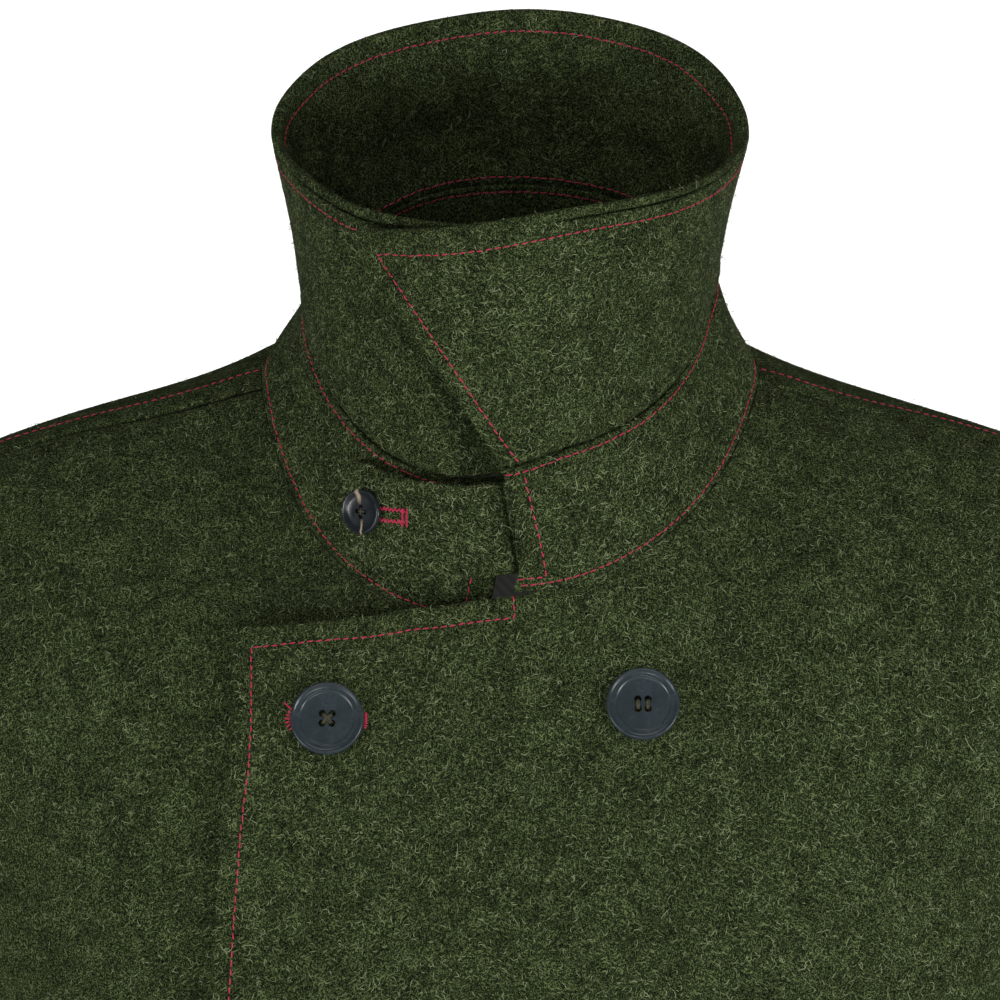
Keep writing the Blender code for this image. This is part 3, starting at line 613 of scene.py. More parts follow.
def lapped_surface(angle, up):
    """The left front, which stands off the right one where it laps over it."""
    stand_off = (CLOTH + LAP_GAP) * (1.0 - smoothstep(*LAP_FADE, angle))
    stand_off = stand_off + (end_off(angle) - stand_off) * smoothstep(LAP_OFF_FROM, UP_NECK, up)
    return over_surface(angle, up) + level_of(over_surface, angle, up) * stand_off[..., None]


def collar_surface(table, angle, station):
    """The stand's or the leaf's outer face, with its right side lower."""
    share = station / table[-1][0]
    if table is STAND:
        sag = right_sag(angle, share) + left_droop(angle) * share
    else:
        sag = (right_sag(angle, 1.0) + left_droop(angle)) * (1.0 - share)
    return lowered(ring(table, angle, station), sag)


def collar_point(table, angle, station, depth):
    """Points of the stand or the leaf at a depth, measured level so that plies meet at seams."""
    level = level_of(lambda a, s: ring(table, a, s), angle, station)
    return collar_surface(table, angle, station) + level * (end_off(angle) - depth)[..., None]


def armhole_axis(up):
    """The angle of the armhole's middle line at a height."""
    below = between(SIDE_SEAM, SHOULDER_SEAM, np.clip((up - UP_ARMPIT) / (UP_TIP - UP_ARMPIT), 0.0, 1.0))
    above = SHOULDER_SEAM + (NECK_POINT - SHOULDER_SEAM) * (up - UP_TIP) / (UP_NECK - UP_TIP)
    return np.where(up > UP_TIP, above, below)


def armhole_width(up):
    """How wide the armhole is at a height, from 0 to 1."""
    c = (up - (UP_TIP + UP_ARMPIT) / 2) / ((UP_TIP - UP_ARMPIT) / 2)
    return np.sqrt(np.maximum(1.0 - c * c, 0.0))


def seam_angle(up):
    """Half a seam's gap as an angle on the body at a station; the pressed shoulder seam shows wider."""
    slit = GAP / 2 + SHOULDER_SLIT * MM * smoothstep(UP_TIP, UP_TIP + SHOULDER_SLIT_FADE, up)
    return np.degrees(slit / (columns_at(BODY, up)[1] * MM))


def front_grid(across, base):
    """Angles and stations of a front's grid, from its lap edge to the side, for the left front."""
    in_lap = across <= LAP_SHARE
    x = np.where(in_lap, -curve_value(LAP_EDGE, base) * (1.0 - across / LAP_SHARE), 0.0)
    share = np.clip((across - LAP_SHARE) / (1.0 - LAP_SHARE), 0.0, 1.0)
    beyond = BODY[-1][2] * np.sin(np.radians(NECK_POINT * share))
    top = curve_value(LAP_TOP, np.where(in_lap, -x, -beyond))
    squeeze = (top - LAP_ROWS_FROM) / (UP_NECK - LAP_ROWS_FROM)
    up = np.where(base > LAP_ROWS_FROM, LAP_ROWS_FROM + (base - LAP_ROWS_FROM) * squeeze, base)
    half_width, square = columns_at(BODY, up)[[1, -1]]
    lap_angle = np.degrees(np.arcsin(signed_power(np.clip(x / half_width, -1.0, 1.0), square / 2.0)))
    edge = armhole_axis(up) - ARMHOLE_FRONT * armhole_width(up) - seam_angle(up)
    return np.where(in_lap, lap_angle, edge * share), up


def back_grid(across, up):
    """Angles and stations of the back's grid, from one side seam to the other."""
    start = armhole_axis(up) + ARMHOLE_BACK * armhole_width(up) + seam_angle(up)
    return start + (360.0 - 2 * start) * across, up


def armhole_point(psi):
    """Angle and station of the left armhole: psi 0 at the shoulder, 90 in front, 180 below."""
    up = (UP_TIP + UP_ARMPIT) / 2 + (UP_TIP - UP_ARMPIT) / 2 * np.cos(np.radians(psi))
    sine = np.sin(np.radians(psi))
    return armhole_axis(up) - np.where(sine > 0, ARMHOLE_FRONT, ARMHOLE_BACK) * sine, up


def arm_ring(psi, along):
    """Points of the sleeve below the armpit."""
    x, y, z, across, depth = columns_at(ARM, along)
    before = np.moveaxis(columns_at(ARM, along - ARM_NEAR)[:3], 0, -1)
    after = np.moveaxis(columns_at(ARM, along + ARM_NEAR)[:3], 0, -1)
    direction = unit(after - before)
    forward = unit(np.array((0.0, -1.0, 0.0)) + direction * direction[..., 1:2])
    outward = np.cross(forward, direction)
    out = (outward * (np.cos(np.radians(psi)) * across)[..., None]
           + forward * (np.sin(np.radians(psi)) * depth)[..., None])
    fold = fold_height(SLEEVE_FOLDS, psi, along) * smoothstep(*ARM_FOLDS_FROM, along)
    return (np.stack((x, y, z), axis=-1) + out) * MM + unit(out) * fold[..., None]


def cap_pull(psi):
    """How strongly the sleeve's head leaves the armhole, in millimetres."""
    top, side, low = CAP_PULL_START
    turn = np.cos(np.radians(psi))
    return side + (top - side) * np.maximum(turn, 0.0) + (low - side) * np.maximum(-turn, 0.0)


def sleeve_surface(psi, reach):
    """The left sleeve: reach 0 to 1 from the armhole to the first section, 1 to 2 on to the cuff."""
    psi, reach = np.broadcast_arrays(np.asarray(psi, float), np.asarray(reach, float))
    place = armhole_point(psi)
    start = over_surface(*place)
    chord = over_surface(*armhole_point(psi + 1.0)) - over_surface(*armhole_point(psi - 1.0))
    leave = unit(np.cross(normal_of(over_surface, *place), chord))
    turn = np.maximum(np.cos(np.radians(psi)), 0.0)
    pull_end = CAP_PULL_END[1] + (CAP_PULL_END[0] - CAP_PULL_END[1]) * turn
    t = np.clip(reach, 0.0, 1.0)[..., None]
    cap = ((1 + 2 * t) * (1 - t) ** 2 * start
           + t * (1 - t) ** 2 * (cap_pull(psi) * MM)[..., None] * leave
           + t * t * (3 - 2 * t) * arm_ring(psi, 0.0 * reach)
           + t * t * (t - 1) * (pull_end * MM)[..., None] * ARM_DIRECTION)
    arm = arm_ring(psi, np.maximum(reach - 1.0, 0.0) * ARM[-1][0])
    return np.where(reach[..., None] > 1.0, arm, cap)


def grid_normals(points):
    """Normals of a grid of points, out of the face whose columns run across and rows run up."""
    return unit(np.cross(np.gradient(points, axis=1), np.gradient(points, axis=0)))


def run_lengths(points, axis):
    """How far each point of a grid is from both ends of its row or column, in metres."""
    steps = np.linalg.norm(np.diff(points, axis=axis), axis=-1)
    pad = [(0, 0), (0, 0)]
    pad[axis] = (1, 0)
    ahead = np.cumsum(np.pad(steps, pad), axis=axis)
    return ahead, np.take(ahead, [-1], axis=axis) - ahead


def edge_roll(distance, width):
    """How far an edge has rolled away, from 1 at the edge to 0 at a width from it."""
    share = np.clip(1.0 - distance / width, 0.0, 1.0)
    return 1.0 - np.sqrt(np.maximum(1.0 - share * share, 0.0))


def groove(distance, middle, half_width):
    """A soft groove along a stitch line at a distance from an edge, from 0 to 1."""
    return np.exp(-((distance - middle) / half_width) ** 2)


def spaced(length, step):
    """Shares from 0 to 1 along a length in millimetres, closer at both ends for the rolled edges."""
    near = np.array((0.0,) + EDGE_STEPS)
    count = max(2, round((length - 2 * near[-1]) / step))
    middle = np.linspace(near[-1], length - near[-1], count + 1)
    return np.concatenate((near[:-1], middle, (length - near[:-1])[::-1])) / length


def unevenness(points, height, size, seed):
    """A gentle uneven swell over a piece, from a few crossing waves of a size."""
    draw = np.random.default_rng(seed)
    total = 0.0
    for _ in range(SWELL_WAVES):
        direction = unit(draw.normal(size=3))
        phase = draw.uniform(0.0, 2 * math.pi)
        pitch = size * draw.uniform(*SWELL_PITCH)
        total = total + np.sin(points @ direction * (2 * math.pi / pitch) + phase)
    return height * (total / SWELL_SHARE)


def crease_relief(creases, points):
    """Soft creases along straight runs as seen from the front, in metres."""
    x, z = points[..., 0] / MM, points[..., 2] / MM
    total = 0.0
    for x0, z0, x1, z1, half_width, height in creases:
        run = math.hypot(x1 - x0, z1 - z0)
        along = ((x - x0) * (x1 - x0) + (z - z0) * (z1 - z0)) / run
        off = ((x - x0) * (z1 - z0) - (z - z0) * (x1 - x0)) / run
        begins = smoothstep(CREASE_IN[0] * run, CREASE_IN[1] * run, along)
        ends = 1.0 - smoothstep(CREASE_OUT[0] * run, CREASE_OUT[1] * run, along)
        total = total + height * bump(off, half_width * CREASE_SPREAD) * (begins * ends)
    return total * MM


def mesh_of_quads(name, points, quads):
    """A smooth-shaded mesh from arrays of points and four-cornered faces."""
    mesh = bpy.data.meshes.new(name)
    mesh.vertices.add(len(points))
    mesh.vertices.foreach_set("co", np.ascontiguousarray(points, dtype=np.float32).ravel())
    mesh.loops.add(quads.size)
    mesh.loops.foreach_set("vertex_index", np.ascontiguousarray(quads, dtype=np.int32).ravel())
    mesh.polygons.add(len(quads))
    mesh.polygons.foreach_set("loop_start", np.arange(len(quads), dtype=np.int32) * 4)
    mesh.polygons.foreach_set("use_smooth", np.ones(len(quads), dtype=bool))
    mesh.update(calc_edges=True)
    mesh.validate()
    return mesh


def add_piece(name, mesh, material):
    """A piece that rides on the jacket's body."""
    piece = bpy.data.objects.new(name, mesh)
    bpy.context.scene.collection.objects.link(piece)
    mesh.materials.append(material)
    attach(piece, BODY_NAME)
    return piece


def shell(name, shown, hidden, material, slot, turned):
    """A closed shell between the shown and the hidden face of a piece."""
    rows, columns = shown.shape[:2]
    count = rows * columns
    index = np.arange(count).reshape(rows, columns)
    face = np.stack((index[:-1, :-1], index[:-1, 1:], index[1:, 1:], index[1:, :-1]), axis=-1)
    face = face.reshape(-1, 4)
    loop = np.concatenate((index[0, :-1], index[:-1, -1], index[-1, :0:-1], index[:0:-1, 0]))
    following = np.roll(loop, -1)
    rim = np.stack((loop, loop + count, following + count, following), axis=-1)
    quads = np.concatenate((face, face[:, ::-1] + count, rim))
    if turned:
        quads = quads[:, ::-1]
    points = np.concatenate((shown.reshape(-1, 3), hidden.reshape(-1, 3)))
    return add_piece(name, mesh_of_quads(name, points, quads), material)


def cloth_piece(node, faces, material, slot="loden", turned=False):
    """A cloth shell in place of its solid, with what it was cut to; its shown face is kept."""
    SHOWN[node] = faces[0]
    piece = shell(node + "_cloth", *faces, material, slot, turned)
    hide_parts(node)


def faces_of(base, normals, thickness, relief, roll):
    """The shown and the hidden face of a piece, rolled together at its edges."""
    half = thickness * ROLL_SHARE
    shown = base + normals * (relief - half * roll)[..., None]
    hidden = base + normals * (relief - thickness + half * roll)[..., None]
    return shown, hidden


def rolled(points, width, *sides):
    """The strongest roll of the named sides of a grid, and the distances to all four sides."""
    left, right = run_lengths(points, 1)
    bottom, top = run_lengths(points, 0)
    distances = {"left": left, "right": right, "bottom": bottom, "top": top}
    roll = np.max([edge_roll(distances[side], width) for side in sides], axis=0)
    return roll, distances


def body_stations():
    """Stations of the body's rows: wide in the skirt, close at the armhole's ends and the neck."""
    skirt = UP_ARMPIT * spaced(UP_ARMPIT, SKIRT_STEP)
    skirt = skirt[skirt < UP_ARMPIT - SKIRT_CLEAR]
    turns = np.linspace(0.0, math.pi, ARMHOLE_ROWS)
    armhole = (UP_TIP + UP_ARMPIT) / 2 - (UP_TIP - UP_ARMPIT) / 2 * np.cos(turns)
    length = UP_NECK - UP_TIP
    neck = UP_TIP + length * spaced(length, NECK_STEP)
    return np.concatenate((skirt, armhole[:-1], neck[neck > UP_TIP + NECK_CLEAR]))


def left_front(share, up):
    """Points of the left front, which laps over the right one."""
    return lapped_surface(*front_grid(share, up))


def right_front(share, up):
    """Points of the right front, cut as the left one's mirror image."""
    angle, station = front_grid(1.0 - share, up)
    return body_surface(360.0 - angle, station)


def whole_back(share, up):
    """Points of the back."""
    return body_surface(*back_grid(share, up))


def panel_form(point, shares, stations, creases):
    """The outer form of a front or the back, its edges' roll and distances, and its relief."""
    base = point(*np.broadcast_arrays(shares[None, :], stations[:, None]))
    roll, distances = rolled(base, CLOTH_ROLL, "left", "right", "bottom")
    inset = np.min([distances[side] for side in ("left", "right", "top")], axis=0)
    relief = crease_relief(creases, base) + unevenness(base, *PANEL_SWELL)
    relief = relief * smoothstep(0.0, PANEL_QUIET, inset)
    relief = relief - NECK_TUCK * groove(distances["top"], 0.0, NECK_TUCK_WIDTH)
    return base, roll, distances, relief


def lap_finish(base, roll, distances, relief):
    """The left front's roll and relief with its puffed and stitched lap edge and its free top edge."""
    sewn = np.minimum(distances["left"] / FRONT_EDGE_STITCH, distances["top"] / FRONT_TOP_STITCH)
    in_lap = (base[..., 0] < LAP_SEWN_TO) | (distances["left"] < LAP_BAND)
    relief = relief - LAP_SINK * groove(sewn, 1.0, LAP_SUNK) * in_lap
    relief = relief + LAP_PUFF * groove(distances["left"], 0.0, LAP_PUFF_WIDTH)
    free = 1.0 - smoothstep(0.0, LAP_BAND, base[..., 0])
    return np.maximum(roll, edge_roll(distances["top"], CLOTH_ROLL) * free), relief


def add_node(tree, kind, inputs, **settings):
    """A node with its settings, and its inputs set or linked."""
    made = tree.nodes.new(kind)
    for key, value in settings.items():
        setattr(made, key, value)
    for key, value in inputs.items():
        if isinstance(value, bpy.types.NodeSocket):
            tree.links.new(value, made.inputs[key])
        else:
            made.inputs[key].default_value = value
    return made


def new_material(name, **values):
    """A named material, its node tree and its shader, with uniform values on the shader's sockets."""
    material = bpy.data.materials.new(name)
    material.use_nodes = True
    shader = material.node_tree.nodes["Principled BSDF"]
    for key, value in values.items():
        shader.inputs[key.replace("_", " ")].default_value = value
    return material, material.node_tree, shader


def loden_material(cloth):
    """Fulled wool: woven, felted and raised, so no weave shows, only a matt dark green ground with
    short lighter hairs lying every way, in soft patches, and a faint sheen at a low angle.
    """
    material, tree, shader = new_material(
        "fulled_wool_loden", Roughness=0.95, Specular_IOR_Level=0.12, Sheen_Weight=0.12,
        Sheen_Roughness=0.45, Sheen_Tint=(*linear("#7c8a63"), 1.0))
    at = add_node(tree, "ShaderNodeTexCoord", {}).outputs["Object"]
    patches = add_node(tree, "ShaderNodeTexNoise", {
        "Vector": at, "Scale": 1 / (11 * MM), "Detail": 2.0, "Roughness": 0.55}).outputs[0]
    clumps = add_node(tree, "ShaderNodeTexNoise", {
        "Vector": at, "Scale": 1 / (1.2 * MM), "Detail": 2.0, "Roughness": 0.6}).outputs[0]
    # A wool hair is finer than a pixel here, so hairs are drawn 0.42 mm wide to show
    hairs = None
    for axis in FIBRE_AXES:
        turn = Vector(axis).to_track_quat("X", "Z").to_euler()
        along = add_node(tree, "ShaderNodeMapping", {
            "Vector": at, "Rotation": turn, "Scale": (2.6 * MM, 0.42 * MM, 0.42 * MM)},
            vector_type="TEXTURE")
        run = add_node(tree, "ShaderNodeTexNoise", {
            "Vector": along.outputs[0], "Scale": 1.0, "Detail": 0.0}).outputs[0]
        hair = add_node(tree, "ShaderNodeMapRange", {
            "Value": run, "From Min": 0.68, "From Max": 0.76}).outputs[0]
        hairs = hair if hairs is None else add_node(
            tree, "ShaderNodeMath", {0: hairs, 1: hair}, operation="MAXIMUM").outputs[0]
    ground = add_node(tree, "ShaderNodeMapRange", {
        "Value": add_node(tree, "ShaderNodeMath", {0: patches, 1: 0.35, 2: clumps},
                          operation="MULTIPLY_ADD").outputs[0],
        "From Min": 0.5, "From Max": 0.86}).outputs[0]
    ground_colour = add_node(tree, "ShaderNodeMix", {
        0: ground, 6: (*cloth.shade_colour, 1.0), 7: (*cloth.ground_colour, 1.0)},
        data_type="RGBA").outputs[2]
    tone = add_node(tree, "ShaderNodeMapRange", {
        "Value": patches, "From Min": 0.36, "From Max": 0.64, "To Min": 0.55, "To Max": 0.95}).outputs[0]
    share = add_node(tree, "ShaderNodeMath", {0: hairs, 1: tone}, operation="MULTIPLY").outputs[0]
    colour = add_node(tree, "ShaderNodeMix", {
        0: share, 6: ground_colour, 7: (*cloth.hair_colour, 1.0)}, data_type="RGBA").outputs[2]
    height = add_node(tree, "ShaderNodeMath", {0: hairs, 1: clumps}, operation="ADD").outputs[0]
    relief = add_node(tree, "ShaderNodeBump", {
        "Height": height, "Strength": 0.8, "Distance": 0.5 * MM})
    tree.links.new(colour, shader.inputs["Base Color"])
    tree.links.new(relief.outputs[0], shader.inputs["Normal"])
    return material


def fibre_material(cloth):
    """Loose wool hairs of the nap: each its own green, from dark to pale, matt with a soft gleam."""
    material, tree, shader = new_material(
        "loose_wool_hair", Roughness=0.7, Specular_IOR_Level=0.2)
    draw = add_node(tree, "ShaderNodeNewGeometry", {}).outputs["Random Per Island"]
    ramp = add_node(tree, "ShaderNodeValToRGB", {"Fac": draw})
    shades = ((0.0, "#0b1207"), (0.3, "#212c14"), (0.55, "#5b6a40"), (0.8, "#b9c897"))
    ramp.color_ramp.elements.remove(ramp.color_ramp.elements[1])
    ramp.color_ramp.elements[0].color = (*linear(shades[0][1]), 1.0)
    for position, shade in shades[1:]:
        ramp.color_ramp.elements.new(position).color = (*linear(shade), 1.0)
    tree.links.new(ramp.outputs[0], shader.inputs["Base Color"])
    return material


def thread_material(name, colour, dark):
    """Polyester sewing thread: twisted, so it gleams in fine slanting bands, painted into its colour as
    highlight and shade, and darkens at its ends.
    """
    material, tree, shader = new_material(name, Roughness=0.5, Specular_IOR_Level=0.35)
    at = add_node(tree, "ShaderNodeTexCoord", {}).outputs["Object"]
    # The twist of a sewing thread is about 0.5 mm; its gleaming and shaded bands are painted between the
    # dark and the full colour
    twist = add_node(tree, "ShaderNodeTexNoise", {
        "Vector": at, "Scale": 1 / (0.5 * MM), "Detail": 1.0}).outputs[0]
    share = add_node(tree, "ShaderNodeMapRange", {
        "Value": twist, "From Min": 0.35, "From Max": 0.6}).outputs[0]
    twist_highlight_and_shade = add_node(tree, "ShaderNodeMix", {
        0: share, 6: (*dark, 1.0), 7: (*colour, 1.0)}, data_type="RGBA").outputs[2]
    tree.links.new(twist_highlight_and_shade, shader.inputs["Base Color"])
    return material


def resin_material(buttons):
    """Cast polyester resin, turned and tumbled: slate grey, faintly clouded, with a satin gleam."""
    material, tree, shader = new_material("cast_resin_slate", Specular_IOR_Level=0.5, IOR=1.54)
    at = add_node(tree, "ShaderNodeTexCoord", {}).outputs["Object"]
    cloud = add_node(tree, "ShaderNodeTexNoise", {
        "Vector": at, "Scale": 1 / (6 * MM), "Detail": 4.0, "Roughness": 0.65}).outputs[0]
    share = add_node(tree, "ShaderNodeMapRange", {
        "Value": cloud, "From Min": 0.35, "From Max": 0.65}).outputs[0]
    deep = [0.72 * part for part in buttons.slate_colour]
    colour = add_node(tree, "ShaderNodeMix", {
        0: share, 6: (*deep, 1.0), 7: (*buttons.slate_colour, 1.0)}, data_type="RGBA").outputs[2]
    gloss = add_node(tree, "ShaderNodeMapRange", {
        "Value": cloud, "From Min": 0.3, "From Max": 0.7, "To Min": 0.2, "To Max": 0.3}).outputs[0]
    tree.links.new(colour, shader.inputs["Base Color"])
    tree.links.new(gloss, shader.inputs["Roughness"])
    return material


def horn_material(buttons):
    """Polished buffalo horn: near black and smoky, with a pale streak from edge to edge."""
    material, tree, shader = new_material("polished_horn", Specular_IOR_Level=0.5, IOR=1.54)
    at = add_node(tree, "ShaderNodeTexCoord", {}).outputs["Object"]
    smoke = add_node(tree, "ShaderNodeTexNoise", {
        "Vector": at, "Scale": 1 / (5 * MM), "Detail": 3.0, "Distortion": 0.6}).outputs[0]
    across, upward, _ = add_node(tree, "ShaderNodeSeparateXYZ", {"Vector": at}).outputs
    # The streak leans, wavers by 3 mm and widens from 0.4 to 1.5 mm, and stops short of the holes
    lean = add_node(tree, "ShaderNodeMath", {0: upward, 1: 0.18, 2: across},
                    operation="MULTIPLY_ADD").outputs[0]
    waver = add_node(tree, "ShaderNodeMath", {0: smoke, 1: 3.2 * MM, 2: lean},
                     operation="MULTIPLY_ADD").outputs[0]
    off = add_node(tree, "ShaderNodeMath", {0: waver, 1: 1.5 * MM}, operation="SUBTRACT").outputs[0]
    away = add_node(tree, "ShaderNodeMath", {0: off}, operation="ABSOLUTE").outputs[0]
    breadth = add_node(tree, "ShaderNodeMapRange", {
        "Value": upward, "From Min": -8 * MM, "From Max": 8 * MM,
        "To Min": 0.4 * MM, "To Max": 1.5 * MM}).outputs[0]
    share = add_node(tree, "ShaderNodeMath", {0: away, 1: breadth}, operation="DIVIDE").outputs[0]
    streak = add_node(tree, "ShaderNodeMapRange", {
        "Value": share, "From Min": 0.4, "From Max": 1.0, "To Min": 1.0, "To Max": 0.0}).outputs[0]
    reach = add_node(tree, "ShaderNodeMath", {0: upward}, operation="ABSOLUTE").outputs[0]
    outer = add_node(tree, "ShaderNodeMapRange", {
        "Value": reach, "From Min": 2.6 * MM, "From Max": 5.4 * MM}).outputs[0]
    pale = add_node(tree, "ShaderNodeMath", {0: streak, 1: outer}, operation="MULTIPLY").outputs[0]
    dark = [0.55 * part for part in buttons.horn_colour]
    body = add_node(tree, "ShaderNodeMix", {
        0: smoke, 6: (*dark, 1.0), 7: (*buttons.horn_colour, 1.0)}, data_type="RGBA").outputs[2]
    colour = add_node(tree, "ShaderNodeMix", {
        0: pale, 6: body, 7: (*linear("#d9c3a5"), 1.0)}, data_type="RGBA").outputs[2]
    gloss = add_node(tree, "ShaderNodeMapRange", {
        "Value": smoke, "From Min": 0.3, "From Max": 0.7, "To Min": 0.16, "To Max": 0.26}).outputs[0]
    tree.links.new(colour, shader.inputs["Base Color"])
    tree.links.new(gloss, shader.inputs["Roughness"])
    return material


def lining_material(cloth):
    """Viscose twill lining: smooth, grey, with fine slanting ribs, painted shade in their troughs, and a
    soft gleam.
    """
    material, tree, shader = new_material("viscose_twill", Roughness=0.45, Specular_IOR_Level=0.4)
    at = add_node(tree, "ShaderNodeTexCoord", {}).outputs["Object"]
    # Twill ribs are about 0.5 mm apart; drawn at 1.2 mm to show
    ribs = add_node(tree, "ShaderNodeTexWave", {
        "Vector": at, "Scale": 1 / (1.2 * MM) / 6.28, "Distortion": 0.6},
        bands_direction="DIAGONAL").outputs[0]
    share = add_node(tree, "ShaderNodeMapRange", {"Value": ribs, "To Min": 0.2}).outputs[0]
    # The colour darkens where the ribs are low: painted shade in their troughs
    deep = [0.7 * part for part in cloth.lining_colour]
    colour = add_node(tree, "ShaderNodeMix", {
        0: share, 6: (*deep, 1.0), 7: (*cloth.lining_colour, 1.0)}, data_type="RGBA").outputs[2]
    relief = add_node(tree, "ShaderNodeBump", {"Height": ribs, "Strength": 0.3, "Distance": 0.1 * MM})
    tree.links.new(colour, shader.inputs["Base Color"])
    tree.links.new(relief.outputs[0], shader.inputs["Normal"])
    return material


def shared_material(name, make, *values):
    """A material made once and used by every piece of its kind."""
    return bpy.data.materials.get(name) or make(*values)


def loden_for(context):
    """The jacket's one loden."""
    return shared_material("fulled_wool_loden", loden_material, context.scene.jacket_cloth)


def left_end_at(along):
    """The angle of the stand's left end, which turns back to a foot at the neck seam."""
    foot_top = between(*STAND_LEFT_END, STAND_FOOT_SHARE)
    return np.interp(along, (0.0, STAND_FOOT_SHARE, 1.0), (STAND_FOOT_ANGLE, foot_top, STAND_LEFT_END[1]))


def stand_heights():
    """Shares of the stand's height at its rows."""
    return spaced(STAND[-1][0], STAND_ROW_STEP)


def seam_slit(angle):
    """How wide the seam between stand and leaf opens at an angle, in millimetres."""
    off = np.abs((angle + 180.0) % 360.0 - 180.0)
    return SEAM_SLIT + SIDE_SLIT * smoothstep(*SIDE_SLIT_FROM, off)


def stand_angle(across, along):
    """Angles of the stand at shares of its length and height."""
    return between(left_end_at(along), between(*STAND_RIGHT_END, along), across)


def collar_dents(angle, station):
    """Dents of the collar and the hollow under its lapping left end, in metres."""
    rise = np.clip((station - STAND[-1][0]) / LEAF[-1][0], 0.0, 1.0)
    lap_end = 360.0 + STAND_LEFT_END[1] + (LEAF_LEFT_END - STAND_LEFT_END[1]) * rise
    off = angle - lap_end
    hollow = smoothstep(-UNDER_HOLLOW_REACH, 0.0, off) * smoothstep(*UNDER_HOLLOW_RISE, station)
    deep = (smoothstep(-2 * UNDER_HOLLOW_REACH, UNDER_HOLLOW_END, off)
            * bump(station - UNDER_HOLLOW_AT, UNDER_HOLLOW_TALL))
    return (fold_height(COLLAR_DENTS, angle, station) - UNDER_HOLLOW * hollow
            - UNDER_HOLLOW_DEEP * deep)


def stand_plies(share):
    """The faces of the stand's outer and inner ply."""
    across, along = np.broadcast_arrays(share[None, :], stand_heights()[:, None])
    angle = stand_angle(across, along)
    station = (STAND[-1][0] - seam_slit(angle)) * along
    base = collar_point(STAND, angle, station, 0.0 * angle)
    roll, distances = rolled(base, PLY_ROLL, "left", "right", "top")
    sewn = np.max([groove(distances["top"], STAND_TOP_STITCH, SUNK_NARROW),
                   groove(distances["bottom"], STAND_BOTTOM_STITCH, SUNK_NARROW),
                   groove(distances["left"], STAND_LEFT_STITCH, SUNK),
                   groove(distances["right"], STAND_RIGHT_STITCH, SUNK)], axis=0)
    quiet = smoothstep(0.0, STAND_QUIET, np.minimum(distances["left"], distances["right"]))
    tucked = (groove(distances["top"], 0.0, STAND_TUCK_TOP)
              + STAND_BOTTOM_SHARE * groove(distances["bottom"], 0.0, STAND_TUCK_BOTTOM))
    relief = collar_dents(angle, station) * quiet - COLLAR_SINK * sewn - STAND_TUCK * tucked
    outer = faces_of(base, grid_normals(base), COLLAR_PLY, relief, roll)

    station = STAND[-1][0] * along
    base = collar_point(STAND, angle, station, COLLAR_TOTAL + 0.0 * angle)
    roll, distances = rolled(base, PLY_ROLL, "left", "right", "bottom", "top")
    swell = unevenness(base, *STAND_SWELL) * smoothstep(0.0, STAND_INNER_QUIET, distances["top"])
    sewn = groove(distances["top"], INSIDE_SEAM_STITCH, SUNK)
    relief = -collar_dents(angle, station) * quiet - STAND_INNER_SINK * sewn + swell
    inner = faces_of(base, -grid_normals(base), COLLAR_PLY, relief, roll)
    return outer, inner


def leaf_angle(across, along):
    """Angles of the leaf, whose ends slant, at shares of its length and height."""
    bottom = stand_angle(across, 1.0)
    slant_end = 360.0 - LEAF_SLANT_FROM
    top = np.interp(bottom, (STAND_LEFT_END[1], LEAF_SLANT_FROM, slant_end, STAND_RIGHT_END[1]),
                    (LEAF_LEFT_END, LEAF_SLANT_FROM, slant_end, LEAF_RIGHT_END))
    return between(bottom, top, along)


def leaf_edge(angle):
    """The station of the leaf's rim at an angle."""
    corner = np.clip(1.0 - (angle - LEAF_LEFT_END) / CORNER_REACH, 0.0, 1.0)
    off = np.abs(angle - 180.0)
    rise = smoothstep(*RIM_RISE_FROM, off) * (1.0 - smoothstep(*RIM_RISE_TO, off))
    rise = rise * np.where(angle < 180.0, *RIM_RISE)
    return (LEAF[-1][0] + rise - LEAF_LEFT_FALL * (1.0 - smoothstep(*LEAF_LEFT_FALL_FADE, angle))
            - LEAF_RIGHT_FALL * smoothstep(*LEAF_RIGHT_FALL_FADE, angle) - CORNER_FALL * corner ** 2)


def leaf_roll(base, angle):
    """The roll of a leaf ply's edges, with its rim seam rolled out of sight at the lapping corner."""
    roll, distances = rolled(base, PLY_ROLL, "left", "right", "bottom")
    at_rim = edge_roll(distances["top"], PLY_ROLL) * smoothstep(*RIM_SEAM_SHOWS, angle)
    return np.maximum(roll, at_rim), distances


